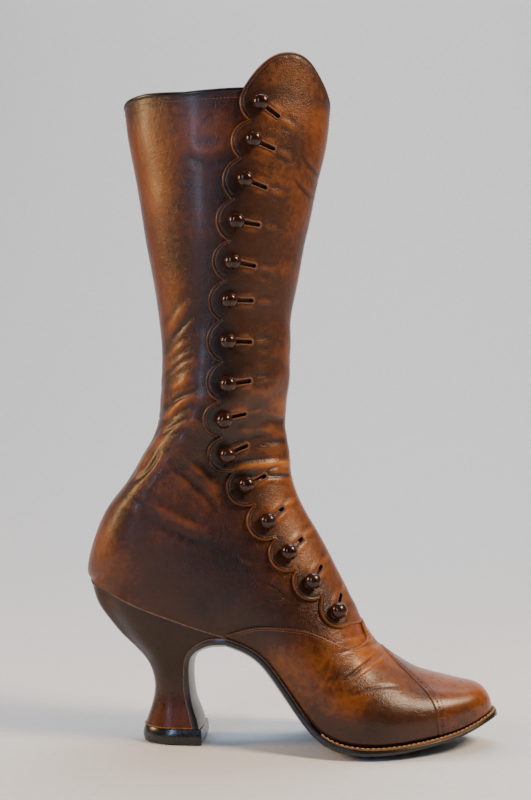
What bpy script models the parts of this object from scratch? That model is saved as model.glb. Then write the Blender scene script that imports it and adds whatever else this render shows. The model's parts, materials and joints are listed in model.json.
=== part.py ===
# Lady's high button boot for the right foot, on a Louis heel.
# Metres, +Z up, +X towards the toe, -Y towards the outer side, where the buttons are.
# The upper is one skin laid through foot, heel, ankle and shaft sections. Every panel,
# the welt, the sole and the heel take their edges from that same skin.

import math

import bpy
import numpy as np
from mathutils import Vector
from mathutils.geometry import delaunay_2d_cdt
from mathutils.kdtree import KDTree

# Driving sizes
BOOT_LENGTH = 0.2445
BALL_WIDTH = 0.079
SEAT_WIDTH = 0.056
INSTEP_DEPTH = 0.075
SEAT_HEIGHT = 0.097
TOE_SPRING = 0.0125
LEG_HEIGHT = 0.283
ANKLE_WIDTH = 0.064
CALF_WIDTH = 0.082
CALF_DEPTH = 0.122
UPPER_WALL = 0.0018
PANEL_THICKNESS = 0.0012
CAP_THICKNESS = 0.0017
FLY_THICKNESS = 0.0020
FLY_PEAK = 0.0245
SCALLOP_REACH = 0.0122
SOLE_DEPTH = 0.0065
SOLE_EDGE = 0.0030
SHANK_THICKNESS = 0.0078
WELT_THICKNESS = 0.0010
WELT_WIDTH = 0.0020
INSOLE_THICKNESS = 0.0022
TOP_LIFT_HEIGHT = 0.0094
HEEL_NECK_WIDTH = 0.024
HEEL_BASE_WIDTH = 0.031
BUTTON_DIAMETER = 0.0098
BUTTON_HEIGHT = 0.0082
BUTTON_SHANK = 0.0017
SLOT_LENGTH = 0.0164
SLOT_WIDTH = 0.0027

# Clearances between pieces that touch on the real boot, the second over the curved skin
FIT = 0.0003
SKIN_GAP = 0.0004

# Facets of the skin: columns over half a section, and the longest row
HALF_COLUMNS = 14
ROW_SPACING = 0.0175
FINE_ROWS = 260
FINE_HALF_COLUMNS = 60
CAP_ROWS = 3
SCALLOP_STEPS = 5
BUTTON_SIDES = 8

# Height of the panels' lower edges over the feather edge
PANEL_LIFT = 0.0023
# Corners of a panel nearer to each other than this become one
PANEL_MERGE = 0.0001
# Width over which the fly thins towards the front seam, and its thickness there as a share
FLY_SKIVE = 0.0060
FLY_SEAM_SHARE = 0.5
# Foot of the fly as a share over the section
FLY_FOOT = 0.474
# Start of the first scallop and end of the last, from their buttons along the row and
# outward, as shares of SCALLOP_REACH
SCALLOP_START = (-0.45, 0.88)
SCALLOP_END = (0.90, -0.15)
# Share of the heel's depth that its rounded back takes
HEEL_ROUND = 0.62
# Thickness of the breast flap at its edges as a share of its middle
FLAP_EDGE_SHARE = 0.74
# Ends of welt and insole as shares of BOOT_LENGTH
WELT_END = 0.585
INSOLE_TOE = 0.962
INSOLE_BACK = 0.055

# Sections of the forefoot. bottom is the place of the feather edge and lean how far the
# ridge lies ahead of it, as shares of BOOT_LENGTH. rise is a share of the seat's height over
# the tread, spring one of TOE_SPRING and depth one of INSTEP_DEPTH. The rest of the lengths
# are shares of BALL_WIDTH. widest is how far up the section is widest, and crown is the
# exponent of the curve above that.
FOREFOOT_COLUMNS = (
    "bottom", "rise", "spring", "lean", "depth", "edge", "belly", "swing", "ridge", "widest", "crown")
FOREFOOT = (
    (0.982, 0.000, 1.00, 0.001, 0.000, 0.000, 0.000, 0.082, 0.082, 0.42, 2.30),
    (0.978, 0.000, 0.97, 0.001, 0.090, 0.070, 0.074, 0.082, 0.082, 0.42, 2.30),
    (0.969, 0.000, 0.89, 0.001, 0.166, 0.122, 0.132, 0.082, 0.082, 0.42, 2.30),
    (0.951, 0.000, 0.74, 0.001, 0.240, 0.178, 0.193, 0.080, 0.080, 0.42, 2.30),
    (0.917, 0.000, 0.50, 0.002, 0.306, 0.252, 0.271, 0.072, 0.076, 0.40, 2.25),
    (0.863, 0.000, 0.27, 0.004, 0.381, 0.342, 0.361, 0.053, 0.070, 0.36, 2.10),
    (0.802, 0.000, 0.11, 0.006, 0.459, 0.418, 0.434, 0.029, 0.057, 0.33, 2.00),
    (0.740, 0.000, 0.01, 0.014, 0.574, 0.472, 0.485, 0.006, 0.044, 0.30, 1.90),
    (0.679, 0.000, 0.00, 0.035, 0.681, 0.487, 0.500, -0.005, 0.038, 0.28, 1.80),
    (0.626, 0.020, 0.00, 0.056, 0.788, 0.472, 0.485, -0.011, 0.032, 0.26, 1.75),
    (0.577, 0.092, 0.00, 0.075, 0.889, 0.437, 0.456, -0.019, 0.025, 0.26, 1.75),
    (0.532, 0.235, 0.00, 0.092, 0.898, 0.392, 0.424, -0.028, 0.025, 0.27, 1.80),
)

# Sections of the waist and the seat, with widths as shares of SEAT_WIDTH
HINDFOOT = (
    (0.483, 0.417, 0.00, 0.111, 0.874, 0.496, 0.554, -0.052, 0.027, 0.28, 1.85),
    (0.434, 0.560, 0.00, 0.129, 0.898, 0.455, 0.532, -0.057, 0.021, 0.28, 1.90),
    (0.372, 0.641, 0.00, 0.159, 0.978, 0.443, 0.527, -0.054, 0.014, 0.28, 1.95),
    (0.290, 0.707, 0.00, 0.217, 1.066, 0.473, 0.536, -0.029, 0.007, 0.28, 2.00),
    (0.188, 0.800, 0.00, 0.308, 1.082, 0.496, 0.545, -0.009, 0.000, 0.30, 2.00),
    (0.102, 0.892, 0.00, 0.391, 1.051, 0.470, 0.545, 0.000, 0.000, 0.30, 2.00),
    (0.045, 0.961, 0.00, 0.448, 1.006, 0.357, 0.545, 0.000, 0.000, 0.30, 2.00),
    (0.016, 0.987, 0.00, 0.476, 0.998, 0.205, 0.545, 0.000, 0.000, 0.30, 2.00),
    (0.006, 1.000, 0.00, 0.486, 1.000, 0.000, 0.545, 0.000, 0.000, 0.30, 2.00),
)

# Closed sections round heel and ankle. back and front are shares of BOOT_LENGTH, both rises
# are shares of LEG_HEIGHT over the seat, and half is the half width over ANKLE_WIDTH.
ANKLE_COLUMNS = ("back", "back_rise", "front", "front_rise", "half", "widest")
ANKLE = (
    (0.001, 0.039, 0.489, 0.284, 0.473, 0.30),
    (0.019, 0.095, 0.484, 0.309, 0.469, 0.30),
    (0.049, 0.151, 0.481, 0.333, 0.466, 0.31),
    (0.0955, 0.204, 0.482, 0.358, 0.469, 0.34),
    (0.1340, 0.260, 0.484, 0.382, 0.484, 0.37),
    (0.166, 0.309, 0.488, 0.407, 0.500, 0.40),
    (0.179, 0.361, 0.492, 0.435, 0.505, 0.43),
    (0.183, 0.421, 0.492, 0.467, 0.500, 0.45),
)

# Closed sections of the shaft. middle is a share of BOOT_LENGTH, rise and tilt are shares of
# LEG_HEIGHT, deep is one of CALF_DEPTH and half one of CALF_WIDTH. The last row but one is
# the collar, and the last only carries the peak of the button fly.
SHAFT_COLUMNS = ("middle", "rise", "deep", "tilt", "half", "widest")
SHAFT = (
    (0.339, 0.477, 0.621, 0.025, 0.384, 0.46),
    (0.336, 0.537, 0.633, 0.007, 0.390, 0.47),
    (0.337, 0.621, 0.690, 0.000, 0.421, 0.47),
    (0.337, 0.698, 0.759, 0.000, 0.449, 0.48),
    (0.339, 0.775, 0.829, 0.000, 0.470, 0.48),
    (0.341, 0.853, 0.895, 0.000, 0.485, 0.48),
    (0.342, 0.926, 0.966, 0.000, 0.495, 0.48),
    (0.341, 1.000, 1.003, 0.000, 0.500, 0.48),
    (0.344, 1.116, 1.057, 0.000, 0.518, 0.48),
)
SHAFT_CROWN = 2.05

# Seams of the foot. around runs over the section from 0 at the outer feather edge by 0.5 at
# the ridge to 1 at the inner one, and place is the section's bottom as a share of BOOT_LENGTH.
SEAM_COLUMNS = ("around", "place")
VAMP_SEAM = (
    (0.00, 0.349),
    (0.04, 0.379),
    (0.10, 0.436),
    (0.17, 0.482),
    (0.24, 0.534),
    (0.31, 0.592),
    (0.36, 0.617),
    (0.41, 0.631),
    (0.44, 0.632),
    (0.46, 0.622),
    (0.48, 0.606),
    (0.50, 0.600),
)
CAP_SEAM = (
    (0.00, 0.850),
    (0.08, 0.846),
    (0.16, 0.839),
    (0.26, 0.816),
    (0.33, 0.791),
    (0.39, 0.763),
    (0.44, 0.728),
    (0.48, 0.690),
    (0.50, 0.677),
)

# Buttons from the collar down. front is the height of the section's ridge as a share of the
# collar's height, around the share over the section, and turn the slot's angle in degrees
# from square to the row of buttons. reach and notch are shares of SCALLOP_REACH from the
# button out to its scallop's tip, and from the row out to the notch under the scallop.
BUTTON_COLUMNS = ("front", "around", "turn", "reach", "notch")
BUTTONS = (
    (0.984, 0.324, 23.0, 0.95, 0.38),
    (0.929, 0.313, 10.0, 1.00, 0.50),
    (0.870, 0.302, 9.0, 1.03, 0.47),
    (0.808, 0.290, 1.0, 0.96, 0.34),
    (0.748, 0.285, 7.0, 0.96, 0.36),
    (0.691, 0.281, 0.0, 0.99, 0.48),
    (0.634, 0.276, 0.0, 1.03, 0.42),
    (0.584, 0.280, -12.0, 1.05, 0.39),
    (0.546, 0.291, -10.0, 0.97, 0.28),
    (0.497, 0.346, -3.0, 0.93, 0.24),
    (0.446, 0.374, 3.0, 0.98, 0.19),
    (0.402, 0.342, -8.0, 0.92, 0.16),
    (0.355, 0.318, -7.0, 0.90, 0.24),
    (0.305, 0.314, -11.0, 0.84, 0.08),
    (0.248, 0.342, -20.0, 0.66, 0.00),
)

# Peak of the button fly over the collar. lift is a share of FLY_PEAK.
PEAK_COLUMNS = ("around", "lift")
PEAK = (
    (0.486, 0.00),
    (0.462, 0.28),
    (0.439, 0.55),
    (0.415, 0.83),
    (0.392, 0.98),
    (0.373, 1.00),
    (0.355, 0.95),
    (0.338, 0.82),
    (0.322, 0.62),
    (0.308, 0.38),
    (0.297, 0.15),
)

# Edge of the sole from the toe to the waist. bottom is a share of BOOT_LENGTH, margin one of
# the welt's reach over the skin, edge one of SOLE_EDGE and depth one of SHANK_THICKNESS.
SOLE_COLUMNS = ("bottom", "margin", "edge", "depth")
SOLE = (
    (1.000, 1.00, 0.52, 0.40),
    (0.930, 1.00, 0.54, 0.55),
    (0.850, 1.00, 0.62, 0.74),
    (0.760, 1.00, 0.85, 0.92),
    (0.660, 1.00, 1.00, 0.96),
    (0.600, 0.72, 1.10, 0.98),
    (0.540, 0.30, 1.15, 1.00),
    (0.470, 0.14, 1.15, 1.00),
    (0.355, 0.14, 1.10, 1.00),
)

# Rings of the heel from the seat down to its base, and the sole where it turns down the
# breast. back, inner and outer are the back of the heel, the joint of heel and sole, and the
# free face of the sole: x as a share of BOOT_LENGTH, z as a share of the heel's height over
# the top-lift. seat is 1 where a ring follows the seat, and narrow is 1 at the neck.
HEEL_COLUMNS = ("back_x", "back_z", "inner_x", "inner_z", "outer_x", "outer_z", "seat", "narrow")
HEEL = (
    (0.007, 0.990, 0.354, 0.640, 0.350, 0.550, 1.00, 0.00),
    (0.014, 0.915, 0.330, 0.638, 0.325, 0.549, 0.93, 0.15),
    (0.028, 0.829, 0.310, 0.628, 0.308, 0.542, 0.84, 0.30),
    (0.049, 0.749, 0.292, 0.605, 0.294, 0.528, 0.72, 0.45),
    (0.076, 0.656, 0.275, 0.575, 0.281, 0.510, 0.58, 0.60),
    (0.104, 0.576, 0.260, 0.533, 0.270, 0.478, 0.42, 0.75),
    (0.133, 0.492, 0.250, 0.481, 0.264, 0.441, 0.24, 0.90),
    (0.153, 0.407, 0.245, 0.418, 0.261, 0.395, 0.10, 1.00),
    (0.163, 0.321, 0.243, 0.327, 0.261, 0.321, 0.02, 1.00),
    (0.165, 0.241, 0.245, 0.241, 0.264, 0.235, 0.00, 1.00),
    (0.160, 0.155, 0.251, 0.155, 0.270, 0.149, 0.00, 0.75),
    (0.151, 0.075, 0.259, 0.080, 0.281, 0.069, 0.00, 0.35),
    (0.142, 0.000, 0.266, 0.000, 0.288, 0.000, 0.00, 0.00),
)

# Rings of the top-lift from its top down: how far each stands out from the heel's base
TOP_LIFT_COLUMNS = ("height", "out")
TOP_LIFT = (
    (1.00, 0.0002),
    (0.45, 0.0014),
    (0.12, 0.0008),
    (0.00, -0.0008),
)


def spline(places, values, wanted):
    """Natural cubic through the rows of values, read at the wanted places."""
    places = np.asarray(places, float)
    values = np.asarray(values, float)
    gaps = np.diff(places)
    slopes = np.diff(values, axis=0) / gaps[:, None]
    count = len(places)
    matrix = np.eye(count)
    right = np.zeros_like(values)
    for k in range(1, count - 1):
        matrix[k, k - 1] = gaps[k - 1]
        matrix[k, k] = 2.0 * (gaps[k - 1] + gaps[k])
        matrix[k, k + 1] = gaps[k]
        right[k] = 6.0 * (slopes[k] - slopes[k - 1])
    bends = np.linalg.solve(matrix, right)
    wanted = np.clip(np.asarray(wanted, float), places[0], places[-1])
    span = np.clip(np.searchsorted(places, wanted, side="right") - 1, 0, count - 2)
    width = gaps[span][:, None]
    ahead = (places[span + 1] - wanted)[:, None]
    behind = (wanted - places[span])[:, None]
    curve = (bends[span] * ahead ** 3 + bends[span + 1] * behind ** 3) / (6.0 * width)
    curve += (values[span] / width - bends[span] * width / 6.0) * ahead
    curve += (values[span + 1] / width - bends[span + 1] * width / 6.0) * behind
    return curve


def named(columns, row):
    return dict(zip(columns, row))


def feather_height(rise, spring):
    return SOLE_DEPTH + rise * (SEAT_HEIGHT - SOLE_DEPTH) + spring * TOE_SPRING


def skin_sections():
    """Each section: bottom x and z, top x and z, then edge, belly, swing, ridge, widest, crown."""
    rows = []
    for table, width in ((FOREFOOT, BALL_WIDTH), (HINDFOOT, SEAT_WIDTH)):
        for entry in table:
            cut = named(FOREFOOT_COLUMNS, entry)
            bottom_x = cut["bottom"] * BOOT_LENGTH
            bottom_z = feather_height(cut["rise"], cut["spring"])
            rows.append((
                bottom_x, bottom_z,
                bottom_x + cut["lean"] * BOOT_LENGTH, bottom_z + cut["depth"] * INSTEP_DEPTH,
                cut["edge"] * width, cut["belly"] * width,
                cut["swing"] * width, cut["ridge"] * width, cut["widest"], cut["crown"]))
    for entry in ANKLE:
        cut = named(ANKLE_COLUMNS, entry)
        rows.append((
            cut["back"] * BOOT_LENGTH, SEAT_HEIGHT + cut["back_rise"] * LEG_HEIGHT,
            cut["front"] * BOOT_LENGTH, SEAT_HEIGHT + cut["front_rise"] * LEG_HEIGHT,
            0.0, cut["half"] * ANKLE_WIDTH, 0.0, 0.0, cut["widest"], 2.0))
    for entry in SHAFT:
        cut = named(SHAFT_COLUMNS, entry)
        middle = cut["middle"] * BOOT_LENGTH
        reach = 0.5 * cut["deep"] * CALF_DEPTH
        height = SEAT_HEIGHT + cut["rise"] * LEG_HEIGHT
        rows.append((
            middle - reach, height, middle + reach, height + cut["tilt"] * LEG_HEIGHT,
            0.0, cut["half"] * CALF_WIDTH, 0.0, 0.0, cut["widest"], SHAFT_CROWN))
    return np.array(rows)


SECTIONS = skin_sections()
CLOSING_ROW = len(FOREFOOT) + len(HINDFOOT) - 1
COLLAR_ROW = len(SECTIONS) - 2


def section_places():
    """Running distance from section to section, over its bottom and its top together."""
    steps = np.linalg.norm(np.diff(SECTIONS[:, 0:4], axis=0), axis=1)
    return np.concatenate(([0.0], np.cumsum(steps)))


PLACES = section_places()
CLOSING_PLACE = PLACES[CLOSING_ROW]
COLLAR_PLACE = PLACES[COLLAR_ROW]


def half_section(values, side, columns):
    """One half of a section from the feather edge up to the ridge, evenly spaced."""
    bottom_x, bottom_z, top_x, top_z, edge, belly, swing, ridge, widest, crown = values
    tall = math.hypot(top_x - bottom_x, top_z - bottom_z)
    start = math.asin(min(0.97, edge / max(belly, 1e-6)))
    lower = np.linspace(start, 0.5 * math.pi, 40)
    upper = np.linspace(0.0, 0.5 * math.pi, 50)[1:]
    rise = widest * (1.0 - np.cos(lower) / math.cos(start))
    over = widest + (1.0 - widest) * np.sin(upper) ** (2.0 / crown)
    share = np.concatenate((rise, over))
    share[-1] = 1.0
    out = np.concatenate((belly * np.sin(lower), belly * np.cos(upper) ** (2.0 / crown)))
    out[-1] = 0.0
    points = np.empty((len(share), 3))
    points[:, 0] = bottom_x + (top_x - bottom_x) * share
    points[:, 1] = swing + (ridge - swing) * share + side * out
    points[:, 2] = bottom_z + (top_z - bottom_z) * share
    run = np.concatenate(([0.0], np.cumsum(np.linalg.norm(np.diff(points, axis=0), axis=1))))
    wanted = np.linspace(0.0, run[-1], columns + 1)
    if tall < 1e-5:
        return np.repeat(points[:1], columns + 1, axis=0)
    return np.column_stack([np.interp(wanted, run, points[:, k]) for k in range(3)])


class Skin:
    """The outside of the upper, with a place along the boot and a share around the section."""

    def __init__(self):
        self.places = np.linspace(0.0, PLACES[-1], FINE_ROWS)
        values = spline(PLACES, SECTIONS, self.places)
        values[:, 4] = np.clip(values[:, 4], 0.0, None)
        values[self.places >= CLOSING_PLACE, 4] = 0.0
        rows = []
        for row in values:
            outer = half_section(row, -1.0, FINE_HALF_COLUMNS)
            inner = half_section(row, 1.0, FINE_HALF_COLUMNS)
            rows.append(np.vstack((outer, inner[::-1][1:])))
        self.points = np.array(rows)
        self.values = values
        self.girths = np.linalg.norm(np.diff(self.points, axis=1), axis=2).sum(axis=1)
        self.normals = self.find_normals()
        count = FINE_ROWS * (2 * FINE_HALF_COLUMNS + 1)
        self.tree = KDTree(count)
        for k, point in enumerate(self.points.reshape(count, 3)):
            self.tree.insert(Vector(point), k)
        self.tree.balance()

    def find_normals(self):
        along = np.gradient(self.points, axis=0)
        around = np.gradient(self.points, axis=1)
        closed = self.places >= CLOSING_PLACE
        joint = self.points[closed, 1] - self.points[closed, -2]
        around[closed, 0] = joint
        around[closed, -1] = joint
        normals = np.cross(around, along)
        normals[0] = (1.0, 0.0, 0.6)
        lengths = np.linalg.norm(normals, axis=2, keepdims=True)
        return normals / np.maximum(lengths, 1e-12)

    def read(self, grid, place, around):
        """Value of a fine grid at one place and share, or at arrays of them."""
        row = np.clip(np.asarray(place, float) / self.places[-1], 0.0, 1.0) * (FINE_ROWS - 1)
        column = np.clip(np.asarray(around, float), 0.0, 1.0) * (2 * FINE_HALF_COLUMNS)
        low_row = np.minimum(row.astype(int), FINE_ROWS - 2)
        low_column = np.minimum(column.astype(int), 2 * FINE_HALF_COLUMNS - 1)
        down = (row - low_row)[..., None]
        right = (column - low_column)[..., None]
        near = grid[low_row, low_column] * (1.0 - right) + grid[low_row, low_column + 1] * right
        far = grid[low_row + 1, low_column] * (1.0 - right) + grid[low_row + 1, low_column + 1] * right
        return near * (1.0 - down) + far * down

    def at(self, place, around, offset=0.0):
        normal = self.read(self.normals, place, around)
        normal = normal / np.maximum(np.linalg.norm(normal, axis=-1, keepdims=True), 1e-12)
        return self.read(self.points, place, around) + normal * offset

    def girth_at(self, place):
        """Length over the section from feather edge to feather edge."""
        return np.interp(place, self.places, self.girths)

    def rest(self, place, lift):
        """Share over the section at this distance from the feather edge."""
        return np.minimum(0.3, lift / np.maximum(self.girth_at(place), 1e-4))

    def bottom_at(self, places):
        """Side view of the section's bottom at these places."""
        return np.column_stack([np.interp(places, self.places, self.values[:, k]) for k in (0, 1)])

    def nearest(self, point):
        """Place and share of the skin nearest to a point."""
        spot = self.tree.find(Vector(point))[1]
        row, column = divmod(spot, 2 * FINE_HALF_COLUMNS + 1)
        row = min(max(row, 1), FINE_ROWS - 2)
        column = min(max(column, 1), 2 * FINE_HALF_COLUMNS - 1)
        along = 0.5 * (self.points[row + 1, column] - self.points[row - 1, column])
        around = 0.5 * (self.points[row, column + 1] - self.points[row, column - 1])
        system = np.column_stack((along, around))
        step = np.linalg.lstsq(system, point - self.points[row, column], rcond=None)[0]
        place = (row + step[0]) / (FINE_ROWS - 1) * self.places[-1]
        return float(place), float((column + step[1]) / (2 * FINE_HALF_COLUMNS))

    def place_of_bottom(self, share):
        """Place of the open section whose bottom lies at this share of the length."""
        open_rows = self.places <= CLOSING_PLACE
        bottoms = self.values[open_rows, 0]
        return np.interp(-np.asarray(share) * BOOT_LENGTH, -bottoms, self.places[open_rows])

    def place_of_front(self, height):
        """Place of the section whose ridge lies at this height."""
        return np.interp(height, self.values[:, 3], self.places)


SKIN = Skin()


def colour_of(hex_code):
    """Linear colour of an sRGB hex code."""
    parts = [int(hex_code[k:k + 2], 16) / 255.0 for k in (0, 2, 4)]
    linear = [p / 12.92 if p <= 0.04045 else ((p + 0.055) / 1.055) ** 2.4 for p in parts]
    return (*linear, 1.0)


def make_material(name, hex_code, roughness, metallic=0.0):
    material = bpy.data.materials.new(name)
    material.use_nodes = True
    shader = material.node_tree.nodes["Principled BSDF"]
    shader.inputs["Base Color"].default_value = colour_of(hex_code)
    shader.inputs["Roughness"].default_value = roughness
    shader.inputs["Metallic"].default_value = metallic
    material.diffuse_color = colour_of(hex_code)
    return material


def make_object(name, points, faces, material, parent):
    mesh = bpy.data.meshes.new(name)
    mesh.from_pydata([tuple(float(c) for c in p) for p in points], [], faces)
    mesh.update()
    mesh.shade_smooth()
    mesh.set_sharp_from_angle(angle=math.radians(40.0))
    mesh.materials.append(material)
    piece = bpy.data.objects.new(name, mesh)
    bpy.context.scene.collection.objects.link(piece)
    piece.parent = parent
    return piece


def row_places():
    """Places of the faceted rows, with more of them where a section's ends move far."""
    places = [0.0]
    for k in range(COLLAR_ROW):
        ends = SECTIONS[k + 1, 0:4] - SECTIONS[k, 0:4]
        reach = max(math.hypot(ends[0], ends[1]), math.hypot(ends[2], ends[3]))
        count = max(1, math.ceil(reach / ROW_SPACING))
        step = (PLACES[k + 1] - PLACES[k]) / count
        places += [PLACES[k] + step * (n + 1) for n in range(count)]
    return np.array(places)


ROWS = row_places()
COLUMNS = 2 * HALF_COLUMNS
# The rows with two more for the peak of the fly
PEAK_ROWS = np.concatenate((ROWS, np.linspace(COLLAR_PLACE, PLACES[-1], 3)[1:]))


def on_facets(spots, offset):
    """Points over the upper's own facets at places and shares, moved off by an offset."""
    row = np.clip(np.searchsorted(PEAK_ROWS, spots[:, 0], side="right") - 1, 0, len(PEAK_ROWS) - 2)
    down = (spots[:, 0] - PEAK_ROWS[row]) / (PEAK_ROWS[row + 1] - PEAK_ROWS[row])
    column = np.clip((spots[:, 1] * COLUMNS).astype(int), 0, COLUMNS - 1)
    over = spots[:, 1] * COLUMNS - column
    down, over = down[:, None], over[:, None]
    corners = {}
    for name, (i, j) in {"a": (0, 0), "b": (0, 1), "c": (1, 1), "d": (1, 0)}.items():
        place, share = PEAK_ROWS[row + i], (column + j) / COLUMNS
        point = SKIN.at(place, share)
        corners[name] = (point, SKIN.at(place, share, 1.0) - point)
    mixed = []
    for k in (0, 1):
        a, b, c, d = (corners[name][k] for name in "abcd")
        near = a + (b - a) * over + (c - b) * down
        far = a + (d - a) * down + (c - d) * over
        mixed.append(np.where(down <= over, near, far))
    normal = mixed[1] / np.linalg.norm(mixed[1], axis=1, keepdims=True)
    return mixed[0] + normal * offset


def ring_face(faces, corners, flip=False):
    """Adds a face without the corners that coincide."""
    loop = [c for k, c in enumerate(corners) if c != corners[k - 1]]
    if len(loop) > 2:
        faces.append(loop[::-1] if flip else loop)


def make_upper(material, parent):
    """The hollow upper: skin, lining side, and the rims at the feather edge and the collar."""
    around = np.linspace(0.0, 1.0, COLUMNS + 1)
    closed = ROWS >= CLOSING_PLACE - 1e-9
    points = []
    index = {}
    for layer, depth, step in ((0, 0.0, 1), (1, -UPPER_WALL, 2)):
        for i, place in enumerate(ROWS):
            ring = SKIN.at(np.full(COLUMNS + 1, place), around, depth)
            for j in range(0, COLUMNS + 1, step):
                if i == 0 and j > 0:
                    index[layer, i, j] = index[layer, 0, 0]
                elif closed[i] and j == COLUMNS:
                    index[layer, i, j] = index[layer, i, 0]
                else:
                    index[layer, i, j] = len(points)
                    points.append(ring[j])
    faces = []
    last = len(ROWS) - 1
    for i in range(last):
        for layer, step in ((0, 1), (1, 2)):
            for j in range(0, COLUMNS, step):
                a, b = index[layer, i, j], index[layer, i, j + step]
                c, d = index[layer, i + 1, j + step], index[layer, i + 1, j]
                ring_face(faces, [a, b, c], layer == 1)
                ring_face(faces, [a, c, d], layer == 1)
        if not closed[i]:
            for j, flip in ((0, False), (COLUMNS, True)):
                corners = [index[0, i, j], index[0, i + 1, j], index[1, i + 1, j], index[1, i, j]]
                ring_face(faces, corners, flip)
    for j in range(0, COLUMNS, 2):
        ring_face(faces, [index[0, last, j], index[0, last, j + 1], index[0, last, j + 2],
                          index[1, last, j + 2], index[1, last, j]])
    return make_object("upper", points, faces, material, parent)


def seam_place(table, around):
    """Place of a seam at each share around the section, alike on both sides of the ridge."""
    entries = [named(SEAM_COLUMNS, row) for row in table]
    knots = [entry["around"] for entry in entries]
    folded = 0.5 - np.abs(np.asarray(around) - 0.5)
    shares = spline(knots, [[entry["place"]] for entry in entries], folded)[:, 0]
    return SKIN.place_of_bottom(shares)


def make_cap(material, parent):
    """The toe cap, from the tip of the toe back to its seam."""
    columns = COLUMNS
    around = np.linspace(0.0, 1.0, columns + 1)
    ends = seam_place(CAP_SEAM, around)
    lines = [np.full(columns + 1, place) for place in ROWS[ROWS < 0.8 * ends.min()]]
    lines += [lines[-1] + (ends - lines[-1]) * (k + 1) / CAP_ROWS for k in range(CAP_ROWS)]
    rows = len(lines) - 1
    points = []
    index = {}
    for layer, offset in ((0, SKIN_GAP + CAP_THICKNESS), (1, SKIN_GAP)):
        for i in range(rows + 1):
            rest = SKIN.rest(lines[i], PANEL_LIFT)
            ring = SKIN.at(lines[i], rest + (1.0 - 2.0 * rest) * around, offset)
            for j in range(columns + 1):
                if i == 0 and j > 0:
                    index[layer, i, j] = index[layer, 0, 0]
                else:
                    index[layer, i, j] = len(points)
                    points.append(ring[j])
    faces = []
    for i in range(rows):
        for j in range(columns):
            for layer in (0, 1):
                ring_face(faces, [index[layer, i, j], index[layer, i, j + 1],
                                  index[layer, i + 1, j + 1], index[layer, i + 1, j]], layer == 1)
        for j, flip in ((0, False), (columns, True)):
            ring_face(faces, [index[0, i, j], index[0, i + 1, j],
                              index[1, i + 1, j], index[1, i, j]], flip)
    for j in range(columns):
        ring_face(faces, [index[0, rows, j], index[0, rows, j + 1],
                          index[1, rows, j + 1], index[1, rows, j]])
    return make_object("toe_cap", points, faces, material, parent)


def inside(spots, outline):
    """Whether flat spots lie inside an outline."""
    hit = np.zeros(len(spots), bool)
    for start, end in zip(np.roll(outline, 1, axis=0), outline):
        if start[1] == end[1]:
            continue
        crosses = (start[1] > spots[:, 1]) != (end[1] > spots[:, 1])
        reach = start[0] + (end[0] - start[0]) * (spots[:, 1] - start[1]) / (end[1] - start[1])
        hit ^= crosses & (spots[:, 0] < reach)
    return hit


def lattice_lines(outline):
    """Corners and facet edges of the upper's skin round an outline."""
    first = max(1, np.searchsorted(PEAK_ROWS, outline[:, 0].min()) - 1)
    last = min(len(PEAK_ROWS) - 1, np.searchsorted(PEAK_ROWS, outline[:, 0].max()))
    left = max(0, math.floor(outline[:, 1].min() * COLUMNS))
    right = min(COLUMNS, math.ceil(outline[:, 1].max() * COLUMNS))
    across = right - left + 1
    spots = [(PEAK_ROWS[i], j / COLUMNS) for i in range(first, last + 1) for j in range(left, right + 1)]
    edges = []
    for i in range(last - first + 1):
        for j in range(across):
            corner = i * across + j
            if j + 1 < across:
                edges.append((corner, corner + 1))
            if i < last - first:
                edges.append((corner, corner + across))
            if j + 1 < across and i < last - first:
                edges.append((corner, corner + across + 1))
    return spots, edges


def make_patch(name, outline, holes, thickness, material, parent):
    """A leather sheet over the upper's facets, inside an outline of places and shares."""
    scale = np.array((1.0, float(SKIN.girth_at(outline[:, 0].mean()))))
    spots, edges = lattice_lines(outline)
    loops = [outline] + holes
    for loop in loops:
        base = len(spots)
        spots += [tuple(spot) for spot in loop]
        edges += [(base + k, base + (k + 1) % len(loop)) for k in range(len(loop))]
    result = delaunay_2d_cdt([Vector(spot * scale) for spot in np.array(spots)], edges, [], 0, PANEL_MERGE)
    flat = np.array([tuple(spot) for spot in result[0]]) / scale
    triangles = np.array([list(face) for face in result[2]])
    middles = flat[triangles].mean(axis=1)
    kept = inside(middles, outline)
    for hole in holes:
        kept &= ~inside(middles, hole)
    triangles = triangles[kept]
    a, b, c = (flat[triangles[:, k]] for k in range(3))
    turn = (b[:, 0] - a[:, 0]) * (c[:, 1] - a[:, 1]) - (b[:, 1] - a[:, 1]) * (c[:, 0] - a[:, 0])
    triangles[turn > 0.0] = triangles[turn > 0.0][:, ::-1]
    low = on_facets(flat, SKIN_GAP)
    top = on_facets(flat, SKIN_GAP + thickness(flat))
    count = len(flat)
    faces = []
    sides = set()
    for a, b, c in triangles.tolist():
        faces.append([a, b, c])
        faces.append([c + count, b + count, a + count])
        sides |= {(a, b), (b, c), (c, a)}
    for a, b in sorted(sides):
        if (b, a) not in sides:
            faces.append([b, a, a + count, b + count])
    points = np.vstack((top, low))
    used = sorted({corner for face in faces for corner in face})
    order = {corner: k for k, corner in enumerate(used)}
    faces = [[order[corner] for corner in face] for face in faces]
    return make_object(name, points[used], faces, material, parent)


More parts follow.
